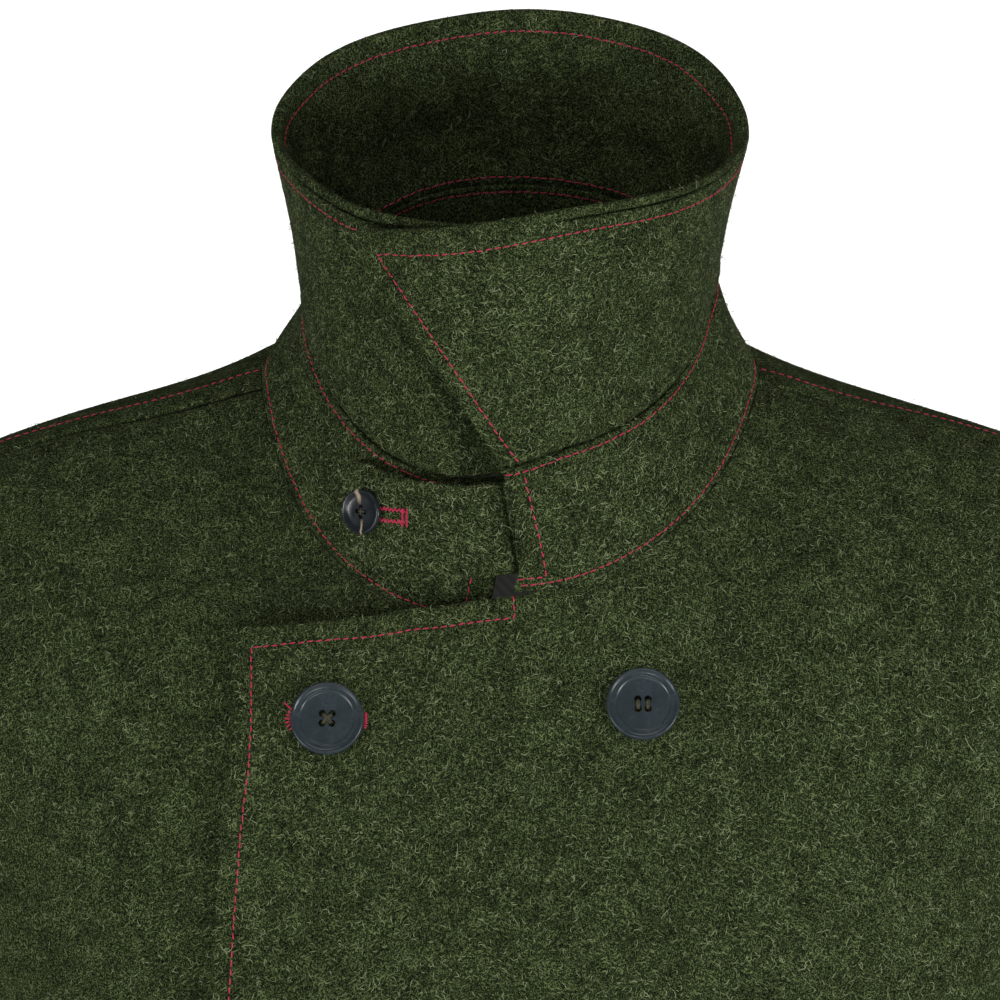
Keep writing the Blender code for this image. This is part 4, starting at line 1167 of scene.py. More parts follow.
def leaf_plies(share):
    """The faces of the leaf's outer and inner ply."""
    rim = leaf_angle(share, 1.0)
    edge = leaf_edge(rim)[None, :]
    seam = seam_slit(leaf_angle(share, 0.0))[None, :]
    outer_top = edge - LEAF_RIM
    across, along = np.broadcast_arrays(share[None, :], spaced(LEAF[-1][0], LEAF_ROW_STEP)[:, None])
    angle = leaf_angle(across, along * ((outer_top - seam) / (edge - seam)))
    station = between(seam, outer_top, along)
    base = collar_point(LEAF, angle, station, 0.0 * angle)
    roll, distances = leaf_roll(base, angle)
    sewn = np.max([groove(distances["top"], LEAF_RIM_STITCH, SUNK),
                   groove(distances["left"], LEAF_END_STITCH, SUNK),
                   groove(distances["right"], LEAF_END_STITCH, SUNK)], axis=0)
    inset = np.min([distances[side] for side in ("left", "right", "top")], axis=0)
    ends = np.maximum(groove(distances["left"], 0.0, LEAF_END_WIDTH),
                      groove(distances["right"], 0.0, LEAF_END_WIDTH))
    puffed = groove(distances["bottom"], LEAF_PUFF_AT, LEAF_PUFF_WIDTH) + LEAF_END_SHARE * ends
    dents = collar_dents(angle, station + STAND[-1][0]) * smoothstep(0.0, LEAF_QUIET, inset)
    relief = dents - COLLAR_SINK * sewn + LEAF_PUFF * puffed
    outer = faces_of(base, grid_normals(base), COLLAR_PLY, relief, roll)

    # The inner ply comes up inside, rolls over the rim and turns down outside to the seam
    radius = COLLAR_TOTAL / 2 / MM
    inside = np.linspace(0.0, 1.0, INSIDE_ROWS)
    turn = np.linspace(0.0, math.pi, RIM_TURN_ROWS)[1:-1]
    depth = np.concatenate((0 * inside + COLLAR_TOTAL, (radius + radius * np.cos(turn)) * MM, 0 * RIM_DOWN))
    below = np.concatenate((0 * inside + radius, radius - radius * np.sin(turn),
                            between(radius, RIM_ROLL_DOWN, RIM_DOWN)))
    rise = np.concatenate((inside, 0 * turn + 1.0, 0 * RIM_DOWN + 1.0))
    opening = np.concatenate((0 * inside, 0 * turn, RIM_DOWN))
    station = (edge - below[:, None]) * rise[:, None]
    station = station + RIM_SLIT * opening[:, None] * smoothstep(*RIM_SEAM_SHOWS, rim)[None, :]
    angle = leaf_angle(np.broadcast_to(share, station.shape), station / edge)
    base = collar_point(LEAF, angle, station, depth[:, None] + 0.0 * angle)
    roll, distances = leaf_roll(base, angle)
    within = (np.arange(len(rise)) < INSIDE_ROWS)[:, None]
    sewn = np.maximum(groove(distances["bottom"], INSIDE_SEAM_STITCH, SUNK),
                      groove(station - (edge - INSIDE_RIM_LINE), 0.0, SUNK / MM))
    quiet = smoothstep(0.0, LEAF_QUIET, np.minimum(distances["left"], distances["right"]))
    quiet = quiet * smoothstep(0.0, RIM_QUIET, edge - station)
    swell = -collar_dents(angle, station + STAND[-1][0]) + unevenness(base, *LEAF_SWELL)
    relief = (swell * quiet - LEAF_INNER_SINK * sewn) * within
    inner = faces_of(base, -grid_normals(base), COLLAR_PLY, relief, roll)
    return outer, inner


def tab_rows(across):
    """The tab's columns at shares of its length."""
    rows = tuple((index,) + row for index, row in enumerate(TAB))
    return columns_at(rows, across * (len(TAB) - 1))


def tab_face(across, along, depth):
    """Points of the throat tab, straight from bottom to top."""
    angle, bottom, top, out, lift = tab_rows(across)
    edges = []
    for station in (bottom, top):
        level = level_of(lambda a, s: ring(STAND, a, s), angle, station)
        off = out + lift * np.maximum(station - TAB_LIFT_FROM, 0.0)
        edges.append(collar_surface(STAND, angle, station) + level * (off * MM - depth)[..., None])
    return between(*edges, along[..., None])


def sample_grid(grid, rows, columns):
    """Values of a grid at places between its rows and columns."""
    rows = np.clip(rows, 0, grid.shape[0] - 1.001)
    columns = np.clip(columns, 0, grid.shape[1] - 1.001)
    r, c = rows.astype(int), columns.astype(int)
    s, t = (rows - r)[..., None], (columns - c)[..., None]
    return ((grid[r, c] * (1 - t) + grid[r, c + 1] * t) * (1 - s)
            + (grid[r + 1, c] * (1 - t) + grid[r + 1, c + 1] * t) * s)


def inset_line(points, side, inset):
    """Rows and columns of the line at an inset, or one for each row, in metres from one side of a grid."""
    axis = 0 if side in ("bottom", "top") else 1
    ahead, behind = run_lengths(points, axis)
    distance = ahead if side in ("bottom", "left") else behind
    lines = distance.T if axis == 0 else distance
    insets = np.broadcast_to(inset, len(lines))
    found = np.array([np.interp(i, d[np.argsort(d)], np.argsort(d)) for i, d in zip(insets, lines)])
    order = np.arange(len(lines), dtype=float)
    return (found, order) if axis == 0 else (order, found)


def stitched_line(points, normals, settings, draw):
    """Stitches along a line of points: the middles, directions, normals and half lengths of each."""
    steps = np.linalg.norm(np.diff(points, axis=0), axis=1)
    along = np.concatenate(((0.0,), np.cumsum(steps)))
    count = int(along[-1] / settings.stitch_pitch)
    places = (np.arange(count) + 0.5) * along[-1] / max(count, 1)
    half = settings.stitch_length / 2 * (1.0 + draw.uniform(-STITCH_VARIES, STITCH_VARIES, count))

    def at(where, values):
        return np.stack([np.interp(where, along, values[:, k]) for k in range(3)], axis=-1)

    upward = unit(at(places, normals))
    direction = unit(at(places + half, points) - at(places - half, points))
    side = np.cross(upward, direction)
    slant = draw.normal(*STITCH_SLANT, count)[:, None]
    middle = at(places, points) + side * draw.normal(0.0, STITCH_WANDER, count)[:, None]
    return middle, unit(direction + side * slant), upward, half


def stitches_mesh(name, lines, radius):
    """One mesh of all the stitches of some lines."""
    middle, direction, upward, half = (np.concatenate(parts) for parts in zip(*lines))
    SEWN.append(middle)
    side = np.cross(upward, direction)
    turns = np.linspace(0.0, 2 * math.pi, STITCH_SIDES, endpoint=False)
    points = []
    for run, thick, high in STITCH_RINGS:
        centre = middle + direction * (half * run)[:, None] + upward * (high * radius)
        for turn in turns:
            points.append(centre + (side * math.cos(turn) + upward * math.sin(turn)) * radius * thick)
    points = np.stack(points, axis=1)
    count = points.shape[1]
    quads = []
    for first in range(0, count - STITCH_SIDES, STITCH_SIDES):
        for k in range(STITCH_SIDES):
            a, b = first + k, first + (k + 1) % STITCH_SIDES
            quads.append((a, a + STITCH_SIDES, b + STITCH_SIDES, b))
    last = count - STITCH_SIDES
    quads += list(STITCH_ENDS) + [tuple(last + k for k in end[::-1]) for end in STITCH_ENDS]
    faces = (np.arange(len(points))[:, None, None] * count + np.array(quads)[None]).reshape(-1, 4)
    return mesh_of_quads(name, points.reshape(-1, 3), faces)


def thread_red(context):
    """The jacket's one red thread."""
    colour = context.scene.jacket_stitching.thread_colour
    # The darker red is the painted shade between the twist's gleaming bands
    return shared_material("polyester_thread_red", thread_material, "polyester_thread_red",
                           tuple(colour), tuple(0.8 * part for part in colour))


def button_frame(node):
    """Where a button's solid sits: its middle on the cloth, its side, its up and its outward axis."""
    corners = np.array([vert.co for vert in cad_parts[node].data.vertices])
    middle = (corners.max(axis=0) + corners.min(axis=0)) / 2
    _, _, axes = np.linalg.svd(corners - corners.mean(axis=0), full_matrices=False)
    outward = Vector(axes[2])
    if outward.y > 0:
        outward = -outward
    side = Vector((0.0, 0.0, 1.0)).cross(outward).normalized()
    up = outward.cross(side)
    rises = corners @ np.array(outward)
    seat = Vector(middle) + outward * (rises.min() - Vector(middle).dot(outward))
    return Matrix.Translation(seat) @ Matrix((side, up, outward)).transposed().to_4x4()


def turned_button(name, profile, kind):
    """A turned button with four drilled holes, about the origin."""
    hole, offset, *_, turn = kind
    corners = [(radius * MM, 0.0, height * MM) for radius, height in profile]
    mesh = bpy.data.meshes.new(name)
    mesh.from_pydata(corners, [(k, k + 1) for k in range(len(corners) - 1)], [])
    blank = bpy.data.objects.new(name, mesh)
    bpy.context.scene.collection.objects.link(blank)
    screw = blank.modifiers.new("Screw", "SCREW")
    screw.steps = BUTTON_STEPS
    screw.render_steps = BUTTON_STEPS
    screw.use_merge_vertices = True
    screw.merge_threshold = BUTTON_MERGE
    bm = bmesh.new()
    for k in range(4):
        angle = turn + math.pi / 2 * k
        drill = bmesh.ops.create_cone(bm, cap_ends=True, segments=HOLE_SIDES, radius1=hole * MM,
                                      radius2=hole * MM, depth=DRILL_DEPTH)
        middle = Vector((math.cos(angle), math.sin(angle), 0.0)) * (offset * MM) * math.sqrt(2.0)
        bmesh.ops.translate(bm, verts=drill["verts"], vec=middle)
    drills_mesh = bpy.data.meshes.new(name + "_drills")
    bm.to_mesh(drills_mesh)
    bm.free()
    drills = bpy.data.objects.new(name + "_drills", drills_mesh)
    bpy.context.scene.collection.objects.link(drills)
    holes = blank.modifiers.new("Holes", "BOOLEAN")
    holes.operation = "DIFFERENCE"
    holes.solver = "EXACT"
    holes.object = drills
    depsgraph = bpy.context.evaluated_depsgraph_get()
    made = bpy.data.meshes.new_from_object(blank.evaluated_get(depsgraph))
    for done in (blank, drills):
        bpy.data.objects.remove(done)
    made.polygons.foreach_set("use_smooth", np.ones(len(made.polygons), dtype=bool))
    made.set_sharp_from_angle(angle=math.radians(BUTTON_SHARP))
    return made


def cord_points(path, radius, sides):
    """Corner points and faces of a round cord along a path."""
    path = np.asarray(path, float)
    tangent = unit(np.gradient(path, axis=0))
    side = unit(np.cross(tangent, np.array((0.13, 0.21, 0.97))))
    other = np.cross(tangent, side)
    turns = np.linspace(0.0, 2 * math.pi, sides, endpoint=False)
    points = (path[:, None] + (side[:, None] * np.cos(turns)[:, None]
                               + other[:, None] * np.sin(turns)[:, None]) * radius)
    index = np.arange(len(path) * sides).reshape(len(path), sides)
    following = np.roll(index, -1, axis=1)
    quads = np.stack((index[:-1], following[:-1], following[1:], index[1:]), axis=-1).reshape(-1, 4)
    return points.reshape(-1, 3), quads


def cords_mesh(name, paths, radius, sides=6):
    """One mesh of round cords along paths."""
    points, quads, start = [], [], 0
    for path in paths:
        corners, faces = cord_points(path, radius, sides)
        points.append(corners)
        quads.append(faces + start)
        start += len(corners)
    return mesh_of_quads(name, np.concatenate(points), np.concatenate(quads))


def bow(first, last, high, steps=9):
    """A path over the face of a button from hole to hole, its ends down in the holes."""
    share = np.linspace(0.0, 1.0, steps)
    rise = high * (1.0 - (2 * share - 1.0) ** 4) - 1.6 * MM * (2 * share - 1.0) ** 8
    path = np.outer(1 - share, first) + np.outer(share, last)
    path[:, 2] = path[:, 2] + rise
    return path


def add_button(node, blank, kind, material, crossed, thread, draw):
    """A button in place of its solid, and the thread through its holes."""
    _, offset, face, rise, strands, turn = kind
    place = button_frame(node)
    mesh = blank.copy()
    mesh.materials.clear()
    mesh.materials.append(material)
    piece = bpy.data.objects.new(node + "_turned", mesh)
    bpy.context.scene.collection.objects.link(piece)
    piece.matrix_world = place
    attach(piece, BODY_NAME)
    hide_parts(node)

    angles = turn + np.arange(4) * (math.pi / 2)
    holes = np.stack((np.cos(angles), np.sin(angles)), axis=-1) * offset * MM * math.sqrt(2.0)
    paths = []
    for order, (a, b) in enumerate(((0, 2), (1, 3)) if crossed else ((0, 3), (1, 2))):
        run = unit(holes[b] - holes[a])
        for strand in range(strands):
            shift = (strand - (strands - 1) / 2) * STRAND_APART
            off = np.array((-run[1], run[0])) * shift + draw.normal(0.0, STRAND_WANDER, 2)
            first = (*(holes[a] + off), face * MM)
            last = (*(holes[b] + off), face * MM)
            paths.append(bow(first, last, (rise + SECOND_RISE * order) * MM))
    mesh = cords_mesh(node + "_thread", paths, STRAND_RADIUS)
    mesh.transform(place)
    add_piece(node + "_thread", mesh, thread)


def button_axes(node):
    """The middle of a button's seat, and its side, up and outward axes."""
    place = button_frame(node)
    return [np.array(place.translation)] + [np.array(place.col[k][:3]) for k in range(3)]


def grid_place(node, point):
    """The row and column of a piece's shown face that lie nearest a point."""
    off = np.linalg.norm(SHOWN[node] - np.asarray(point), axis=-1)
    return np.unravel_index(np.argmin(off), off.shape)


def overcast(node, outward, centre, run, across, rows, draw, pitch=HOLE_PITCH, lean=0.0):
    """Rows of short close stitches over the edges of a buttonhole, which lean to and fro by so much.

    A row is (start, end, inner reach, outer reach) along the run and across it, in millimetres.
    """
    normals = grid_normals(SHOWN[node]) * outward
    made = []
    for start, end, low, high in np.array(rows) * MM:
        count = max(2, int(abs(end - start) / pitch))
        for order, along in enumerate(np.linspace(start, end, count)):
            ends = []
            slant = lean if order % 2 else -lean
            for reach, shift in ((low, -slant), (high, slant)):
                wander = draw.normal(0.0, HAND_WANDER)
                flat = centre + run * (along + shift + wander) + across * (reach + wander)
                place = grid_place(node, flat)
                normal = normals[place]
                ends.append(flat - normal * np.dot(flat - SHOWN[node][place], normal))
            half = np.linalg.norm(ends[1] - ends[0]) / 2
            made.append(((ends[0] + ends[1]) / 2, unit(ends[1] - ends[0]), normal, half))
    return tuple(np.array(parts) for parts in zip(*made))


def hairs_mesh(name, root, normal, cloth, draw):
    """One mesh of bent flat hairs that lie every way on a cloth."""
    count = len(root)
    flat = unit(np.cross(normal, draw.normal(size=(count, 3))))
    side = np.cross(normal, flat)
    length = cloth.hair_length * draw.lognormal(0.0, HAIR_LENGTHS, count)
    bend = length * draw.normal(0.0, HAIR_BENDS, count)
    stray = np.where(draw.uniform(0, 1, count) < STRAY_SHARE, STRAY_RISE, 1.0)
    high = HAIR_LOW + np.abs(draw.normal(0.0, HAIR_SPREAD, count)) * stray
    points = []
    for run, thin in HAIR_RUN:
        arch = 1.0 - (2 * run) ** 2
        middle = (root + flat * (length * run)[:, None] + side * (bend * arch)[:, None]
                  + normal * (high * (0.25 + arch))[:, None])
        half = side * (cloth.hair_width * thin / 2)
        points += [middle - half, middle + half]
    points = np.stack(points, axis=1)
    faces = (np.arange(count)[:, None, None] * points.shape[1] + HAIR_FACES[None]).reshape(-1, 4)
    return mesh_of_quads(name, points.reshape(-1, 3), faces)


class JacketCloth(bpy.types.PropertyGroup):
    """Colours and nap of the loden and the lining."""
    shade_colour: FloatVectorProperty(
        name="Shade", description="Darkest green between the hairs",
        default=linear("#0e1608"), **COLOUR)
    ground_colour: FloatVectorProperty(
        name="Ground", description="Green of the felted ground",
        default=linear("#364527"), **COLOUR)
    hair_colour: FloatVectorProperty(
        name="Hair", description="Green of the raised hairs",
        default=linear("#94a66c"), **COLOUR)
    lining_colour: FloatVectorProperty(
        name="Lining", description="Grey of the yoke lining",
        default=linear("#eeeeea"), **COLOUR)
    hair_length: FloatProperty(
        name="Hair length", description="Mean length of the loose hairs", unit="LENGTH",
        default=2.1 * MM)
    hair_width: FloatProperty(
        name="Hair width", description="Width the loose hairs are drawn at", unit="LENGTH",
        default=0.21 * MM)
    hair_count: IntProperty(
        name="Hairs", description="Loose hairs on the whole jacket", default=71000, min=0)


class JacketStitching(bpy.types.PropertyGroup):
    """Red edge stitching."""
    thread_colour: FloatVectorProperty(
        name="Thread", description="Red of the edge stitching",
        default=linear("#ff4a76"), **COLOUR)
    stitch_length: FloatProperty(
        name="Stitch", description="Length of one stitch that shows", unit="LENGTH",
        default=2.75 * MM)
    stitch_pitch: FloatProperty(
        name="Pitch", description="From stitch to stitch", unit="LENGTH",
        default=3.4 * MM)
    thread_radius: FloatProperty(
        name="Thread radius", description="Half the thread's thickness", unit="LENGTH",
        default=0.26 * MM)


class JacketButtons(bpy.types.PropertyGroup):
    """Colours of the buttons and their threads."""
    slate_colour: FloatVectorProperty(
        name="Slate", description="Grey of the large buttons",
        default=linear("#434f55"), **COLOUR)
    horn_colour: FloatVectorProperty(
        name="Horn", description="Dark of the tab's horn button",
        default=linear("#2f363c"), **COLOUR)
    thread_colour: FloatVectorProperty(
        name="Button thread", description="Olive thread in the buttons",
        default=linear("#6f6a50"), **COLOUR)


class JacketStage(bpy.types.PropertyGroup):
    """Floor and lights."""
    floor_colour: FloatVectorProperty(
        name="Floor", description="Pale floor",
        default=linear("#f4f4f2"), **COLOUR)
    left_power: FloatProperty(
        name="Left light", description="Power of the soft light on the left", unit="POWER",
        default=20.0)
    right_power: FloatProperty(
        name="Right light", description="Power of the soft light on the right", unit="POWER",
        default=25.5)
    front_power: FloatProperty(
        name="Front light", description="Power of the light above the camera", unit="POWER",
        default=4.2)
    top_power: FloatProperty(
        name="Top light", description="Power of the soft light overhead", unit="POWER",
        default=8.0)
    floor_power: FloatProperty(
        name="Floor light", description="Power of the light on the floor behind", unit="POWER",
        default=230.0)
    sky_strength: FloatProperty(
        name="Surround", description="Brightness of the white surround", default=0.045, min=0.0)


class JACKET_OT_body(bpy.types.Operator):
    """Back and both fronts"""
    bl_idname = "jacket.body"
    bl_label = "Body"

    def execute(self, context):
        material = loden_for(context)
        stations = body_stations()
        lap = spaced(LAP_WIDTH, LAP_STEP) * LAP_SHARE
        side = LAP_SHARE + spaced(FRONT_WIDTH, FRONT_STEP) * (1.0 - LAP_SHARE)
        across = np.concatenate((lap[:-len(EDGE_STEPS)], side[len(EDGE_STEPS):]))
        panels = (
            ("front_left", left_front, across, FRONT_CREASES),
            ("front_right", right_front, 1.0 - across[::-1], FRONT_CREASES + LAP_HOLLOW),
            ("back", whole_back, spaced(BACK_WIDTH, BACK_STEP), BACK_CREASES),
        )
        for node, point, shares, creases in panels:
            base, roll, distances, relief = panel_form(point, shares, stations, creases)
            if point is left_front:
                roll, relief = lap_finish(base, roll, distances, relief)
            faces = faces_of(base, grid_normals(base), CLOTH, relief, roll)
            cloth_piece(node, faces, material)
        return {"FINISHED"}


class JACKET_OT_sleeves(bpy.types.Operator):
    """Top and under sleeves on both sides"""
    bl_idname = "jacket.sleeves"
    bl_label = "Sleeves"

    def execute(self, context):
        material = loden_for(context)
        cap = np.linspace(0.0, 1.0, CAP_ROWS) ** CAP_CLOSER
        arm = 1.0 + spaced(ARM[-1][0], ARM_ROW_STEP)[len(EDGE_STEPS):]
        reach = np.concatenate((cap[:-1], arm))[:, None]
        seam = math.degrees(GAP / 2 / (ARM[0][4] * MM))
        spans = {"top_sleeve": (-SLEEVE_SEAM + seam, SLEEVE_SEAM - seam, TOP_SLEEVE_WIDTH),
                 "under_sleeve": (SLEEVE_SEAM + seam, 360.0 - SLEEVE_SEAM - seam, UNDER_SLEEVE_WIDTH)}
        for name, (low, high, width) in spans.items():
            psi = between(low, high, spaced(width, SLEEVE_STEP))[None, :]
            base = sleeve_surface(psi, np.maximum(reach, GAP / (cap_pull(psi) * MM)))
            roll, distances = rolled(base, CLOTH_ROLL, "left", "right", "bottom", "top")
            quiet = smoothstep(0.0, SLEEVE_QUIET, distances["bottom"])
            faces = faces_of(base, grid_normals(base), CLOTH, unevenness(base, *SLEEVE_SWELL) * quiet, roll)
            for side, mirror in (("left", (1, 1, 1)), ("right", (-1, 1, 1))):
                cloth_piece("%s_%s" % (name, side), [face * mirror for face in faces], material,
                            turned=side == "right")
        return {"FINISHED"}


class JACKET_OT_collar(bpy.types.Operator):
    """Stand and leaf, an outer and an inner ply each"""
    bl_idname = "jacket.collar"
    bl_label = "Collar"

    def execute(self, context):
        material = loden_for(context)
        share = spaced(COLLAR_LENGTH, COLLAR_STEP)
        for name, plies in (("stand", stand_plies), ("leaf", leaf_plies)):
            outer, inner = plies(share)
            cloth_piece(name + "_outer", outer, material)
            cloth_piece(name + "_inner", inner, material, turned=True)
        return {"FINISHED"}


class JACKET_OT_tab(bpy.types.Operator):
    """Throat tab and yoke lining"""
    bl_idname = "jacket.tab"
    bl_label = "Tab and lining"

    def execute(self, context):
        across, along = np.broadcast_arrays(
            spaced(TAB_LENGTH, TAB_STEP)[None, :], spaced(TAB_HEIGHT, TAB_ROW_STEP)[:, None])
        base = tab_face(across, along, 0.0 * across)
        roll, distances = rolled(base, TAB_ROLL, "left", "right", "bottom", "top")
        relief = unevenness(base, *TAB_SWELL) * smoothstep(0.0, TAB_QUIET, distances["bottom"])
        angle, bottom, top = tab_rows(across)[:3]
        lap_end = 360.0 + left_end_at(between(bottom, top, along) / STAND[-1][0])
        off = np.radians(angle - lap_end) * STAND[1][3] * MM
        relief = relief - TAB_PRESS * groove(off, TAB_PRESS_AT, TAB_PRESS_WIDTH)
        faces = faces_of(base, -grid_normals(base), TAB_THICK, relief, roll)
        cloth_piece("throat_tab", faces, loden_for(context), turned=True)

        material = shared_material("viscose_twill", lining_material, context.scene.jacket_cloth)
        share = between(*YOKE_ACROSS, spaced(YOKE_WIDTH, YOKE_STEP))
        up = between(*YOKE_UP, spaced(YOKE_HEIGHT, YOKE_STEP))
        back = whole_back(*np.broadcast_arrays(share[None, :], up[:, None]))
        outward = grid_normals(back)
        base = back - outward * (CLOTH + 2 * GAP + LINING)
        roll, distances = rolled(base, LINING_ROLL, "left", "right", "bottom", "top")
        pleat = bump(base[..., 0] - PLEAT_AT, PLEAT_WIDTH) * smoothstep(0.0, PLEAT_FROM, distances["top"])
        faces = faces_of(base, -outward, LINING, PLEAT_HIGH * pleat, roll)
        cloth_piece("yoke_lining", faces, material, "lining", turned=True)
        return {"FINISHED"}


class JACKET_OT_stitching(bpy.types.Operator):
    """Red stitching along edges and seams"""
    bl_idname = "jacket.stitching"
    bl_label = "Stitching"

    def execute(self, context):
        settings = context.scene.jacket_stitching
        draw = np.random.default_rng(11)

        def line(node, *runs, outward=1.0):
            rows, columns = [np.concatenate([np.atleast_1d(run[k]).astype(float) for run in runs])
                             for k in (0, 1)]
            grid = SHOWN[node]
            normals = sample_grid(grid_normals(grid) * outward, rows, columns)
            return stitched_line(sample_grid(grid, rows, columns), normals, settings, draw)

        # Left front: up its lap edge, along its top edge, then up to the neck seam
        front = SHOWN["front_left"]
        top_rows, top_columns = inset_line(front, "top", FRONT_TOP_STITCH)
        edge_rows, edge_columns = inset_line(front, "left", FRONT_EDGE_STITCH)
        corner_column = np.interp(len(front) - FRONT_CORNER_ROWS, edge_rows, edge_columns)
        corner_row = np.interp(corner_column, top_columns, top_rows)
        near_neck = front[-CORNER_CLEAR, :LAP_COLUMNS, 0]
        turn_column = np.interp(LAP_TURN_X, near_neck, np.arange(LAP_COLUMNS))
        turn_row = np.interp(turn_column, top_columns, top_rows)
        up_edge = edge_rows < corner_row
        along_top = (top_columns > corner_column) & (top_columns < turn_column)
        to_neck = np.linspace(turn_row, len(front) - 1.2, TURN_ROWS)
        fronts = [line("front_left", (edge_rows[up_edge], edge_columns[up_edge]),
                       (corner_row, corner_column), (top_rows[along_top], top_columns[along_top]),
                       (to_neck, np.full(TURN_ROWS, turn_column)))]

        # Shoulder seams, on the back
        first = np.searchsorted(body_stations(), UP_TIP)
        for side in ("left", "right"):
            rows, columns = inset_line(SHOWN["back"], side, SHOULDER_STITCH)
            keep = (rows > first) & (rows < len(rows) - 2)
            fronts.append(line("back", (rows[keep], columns[keep])))

        # Stand: along both seams, and at both ends; the left end's line turns along its bottom
        stand = SHOWN["stand_outer"]
        top_rows, columns = inset_line(stand, "top", STAND_TOP_STITCH)
        collar = [line("stand_outer", (top_rows[1:-1], columns[1:-1]))]
        rows, columns = inset_line(stand, "bottom", STAND_BOTTOM_STITCH)
        collar.append(line("stand_outer", (rows[END_CLEAR - 1:-1], columns[END_CLEAR - 1:-1])))
        foot_rows, foot_columns = inset_line(stand, "bottom", STAND_FOOT_STITCH)
        foot_row = foot_rows[END_CLEAR]
        height = stand_heights()
        foot = between(*STAND_LEFT_END, height) - left_end_at(height)
        end_rows, end_columns = inset_line(
            stand, "left", STAND_LEFT_STITCH + np.radians(foot) * STAND[1][3] * MM)
        corner_column = np.interp(foot_row, end_rows, end_columns)
        down = np.flatnonzero((end_rows > foot_row) & (end_rows < top_rows[END_CLEAR]))[::-1]
        back = np.flatnonzero(foot_columns < corner_column)[::-1]
        collar.append(line("stand_outer", (end_rows[down], end_columns[down]), (foot_row, corner_column),
                           (foot_rows[back], foot_columns[back])))
        end_rows, end_columns = inset_line(stand, "right", STAND_RIGHT_STITCH)
        keep = (end_rows > rows[-END_CLEAR]) & (end_rows < top_rows[-END_CLEAR])
        collar.append(line("stand_outer", (end_rows[keep], end_columns[keep])))

        # Leaf: up its slanting left end and along its rim
        leaf = SHOWN["leaf_outer"]
        rows, columns = inset_line(leaf, "top", LEAF_RIM_STITCH)
        left_rows, left_columns = inset_line(leaf, "left", LEAF_END_STITCH)
        right_rows, right_columns = inset_line(leaf, "right", LEAF_END_STITCH)
        left_corner = np.interp(rows[CORNER_CLEAR], left_rows, left_columns)
        right_corner = np.interp(rows[-CORNER_CLEAR], right_rows, right_columns)
        up_left = (left_rows < rows[CORNER_CLEAR]) & (left_rows > 1)
        along_rim = (columns > left_corner) & (columns < right_corner)
        collar.append(line("leaf_outer", (left_rows[up_left], left_columns[up_left]),
                           (np.interp(left_corner, columns, rows), left_corner),
                           (rows[along_rim], columns[along_rim])))

        # Inside: along the rim and on both sides of the seam between stand and leaf
        inside = SHOWN["leaf_inner"]
        for node, grid, side, inset in (("leaf_inner", inside[:INSIDE_ROWS], "top", INSIDE_RIM_STITCH),
                                        ("leaf_inner", inside, "bottom", INSIDE_SEAM_STITCH),
                                        ("stand_inner", SHOWN["stand_inner"], "top", INSIDE_SEAM_STITCH)):
            rows, columns = inset_line(grid, side, inset)
            clear = slice(INSIDE_CLEAR, -INSIDE_CLEAR)
            collar.append(line(node, (rows[clear], columns[clear]), outward=-1.0))

        material = thread_red(context)
        for name, lines in (("front_stitching", fronts), ("collar_stitching", collar)):
            add_piece(name, stitches_mesh(name, lines, settings.thread_radius), material)
        return {"FINISHED"}


class JACKET_OT_buttons(bpy.types.Operator):
    """Eight large buttons, the horn button of the tab, and their threads"""
    bl_idname = "jacket.buttons"
    bl_label = "Buttons"

    def execute(self, context):
        settings = context.scene.jacket_buttons
        resin = shared_material("cast_resin_slate", resin_material, settings)
        horn = shared_material("polished_horn", horn_material, settings)
        colour = settings.thread_colour
        # The darker olive is the painted shade between the twist's gleaming bands
        olive = shared_material("button_thread_olive", thread_material, "button_thread_olive",
                                tuple(colour), tuple(0.4 * part for part in colour))
        large = turned_button("large_button", BUTTON_PROFILE, LARGE_KIND)
        small = turned_button("small_button", TAB_BUTTON_PROFILE, SMALL_KIND)
        draw = np.random.default_rng(3)
        for node in LARGE_BUTTONS:
            crossed = node.startswith("button_right")
            add_button(node, large, LARGE_KIND, resin, crossed, olive, draw)
        add_button("button_tab", small, SMALL_KIND, horn, True, olive, draw)
        return {"FINISHED"}


class JACKET_OT_buttonholes(bpy.types.Operator):
    """Sewn buttonholes under the tab's button and the right-hand buttons"""
    bl_idname = "jacket.buttonholes"
    bl_label = "Buttonholes"

    def execute(self, context):
        draw = np.random.default_rng(21)
        front = ("front_left", 1.0)
        sewn = []
        for node in LARGE_BUTTONS[::2]:
            centre, run, across, outward = button_axes(node)
            sewn.append(overcast(*front, centre, run, across, BUTTONHOLE_ROWS, draw))
            # The round end, away from the middle of the chest, and the bar at the other end
            for turn in EYELET_TURNS:
                out = run * math.cos(turn) + across * math.sin(turn)
                sewn.append(overcast(*front, centre + run * EYELET_AT, np.cross(out, outward), out,
                                     EYELET_ROW, draw))
            sewn.append(overcast(*front, centre + run * BAR_AT, across, run, BAR_ROW, draw, BAR_PITCH))

        # A loose thread end at the top buttonhole
        centre, run, across, outward = button_axes(LARGE_BUTTONS[0])
        loose = centre + run * LOOSE_END_AT[0] + across * LOOSE_END_AT[1]
        lean = unit(across - run)
        sewn.append(overcast(*front, loose, np.cross(lean, outward), lean, LOOSE_END_ROW, draw))

        tab = ("throat_tab", -1.0)
        centre, run, across, outward = button_axes("button_tab")
        sewn.append(overcast(*tab, centre, run, across, TAB_HOLE_ROWS, draw, TAB_HOLE_PITCH, TAB_HOLE_LEAN))
        for off in TAB_BARS_AT:
            bar = centre + run * off * MM - across * TAB_BARS_DOWN
            sewn.append(overcast(*tab, bar, across, run, TAB_BAR_ROW, draw, TAB_BAR_PITCH))
        mesh = stitches_mesh("buttonhole_stitches", sewn, HOLE_THREAD)
        add_piece("buttonhole_stitches", mesh, thread_red(context))
        return {"FINISHED"}


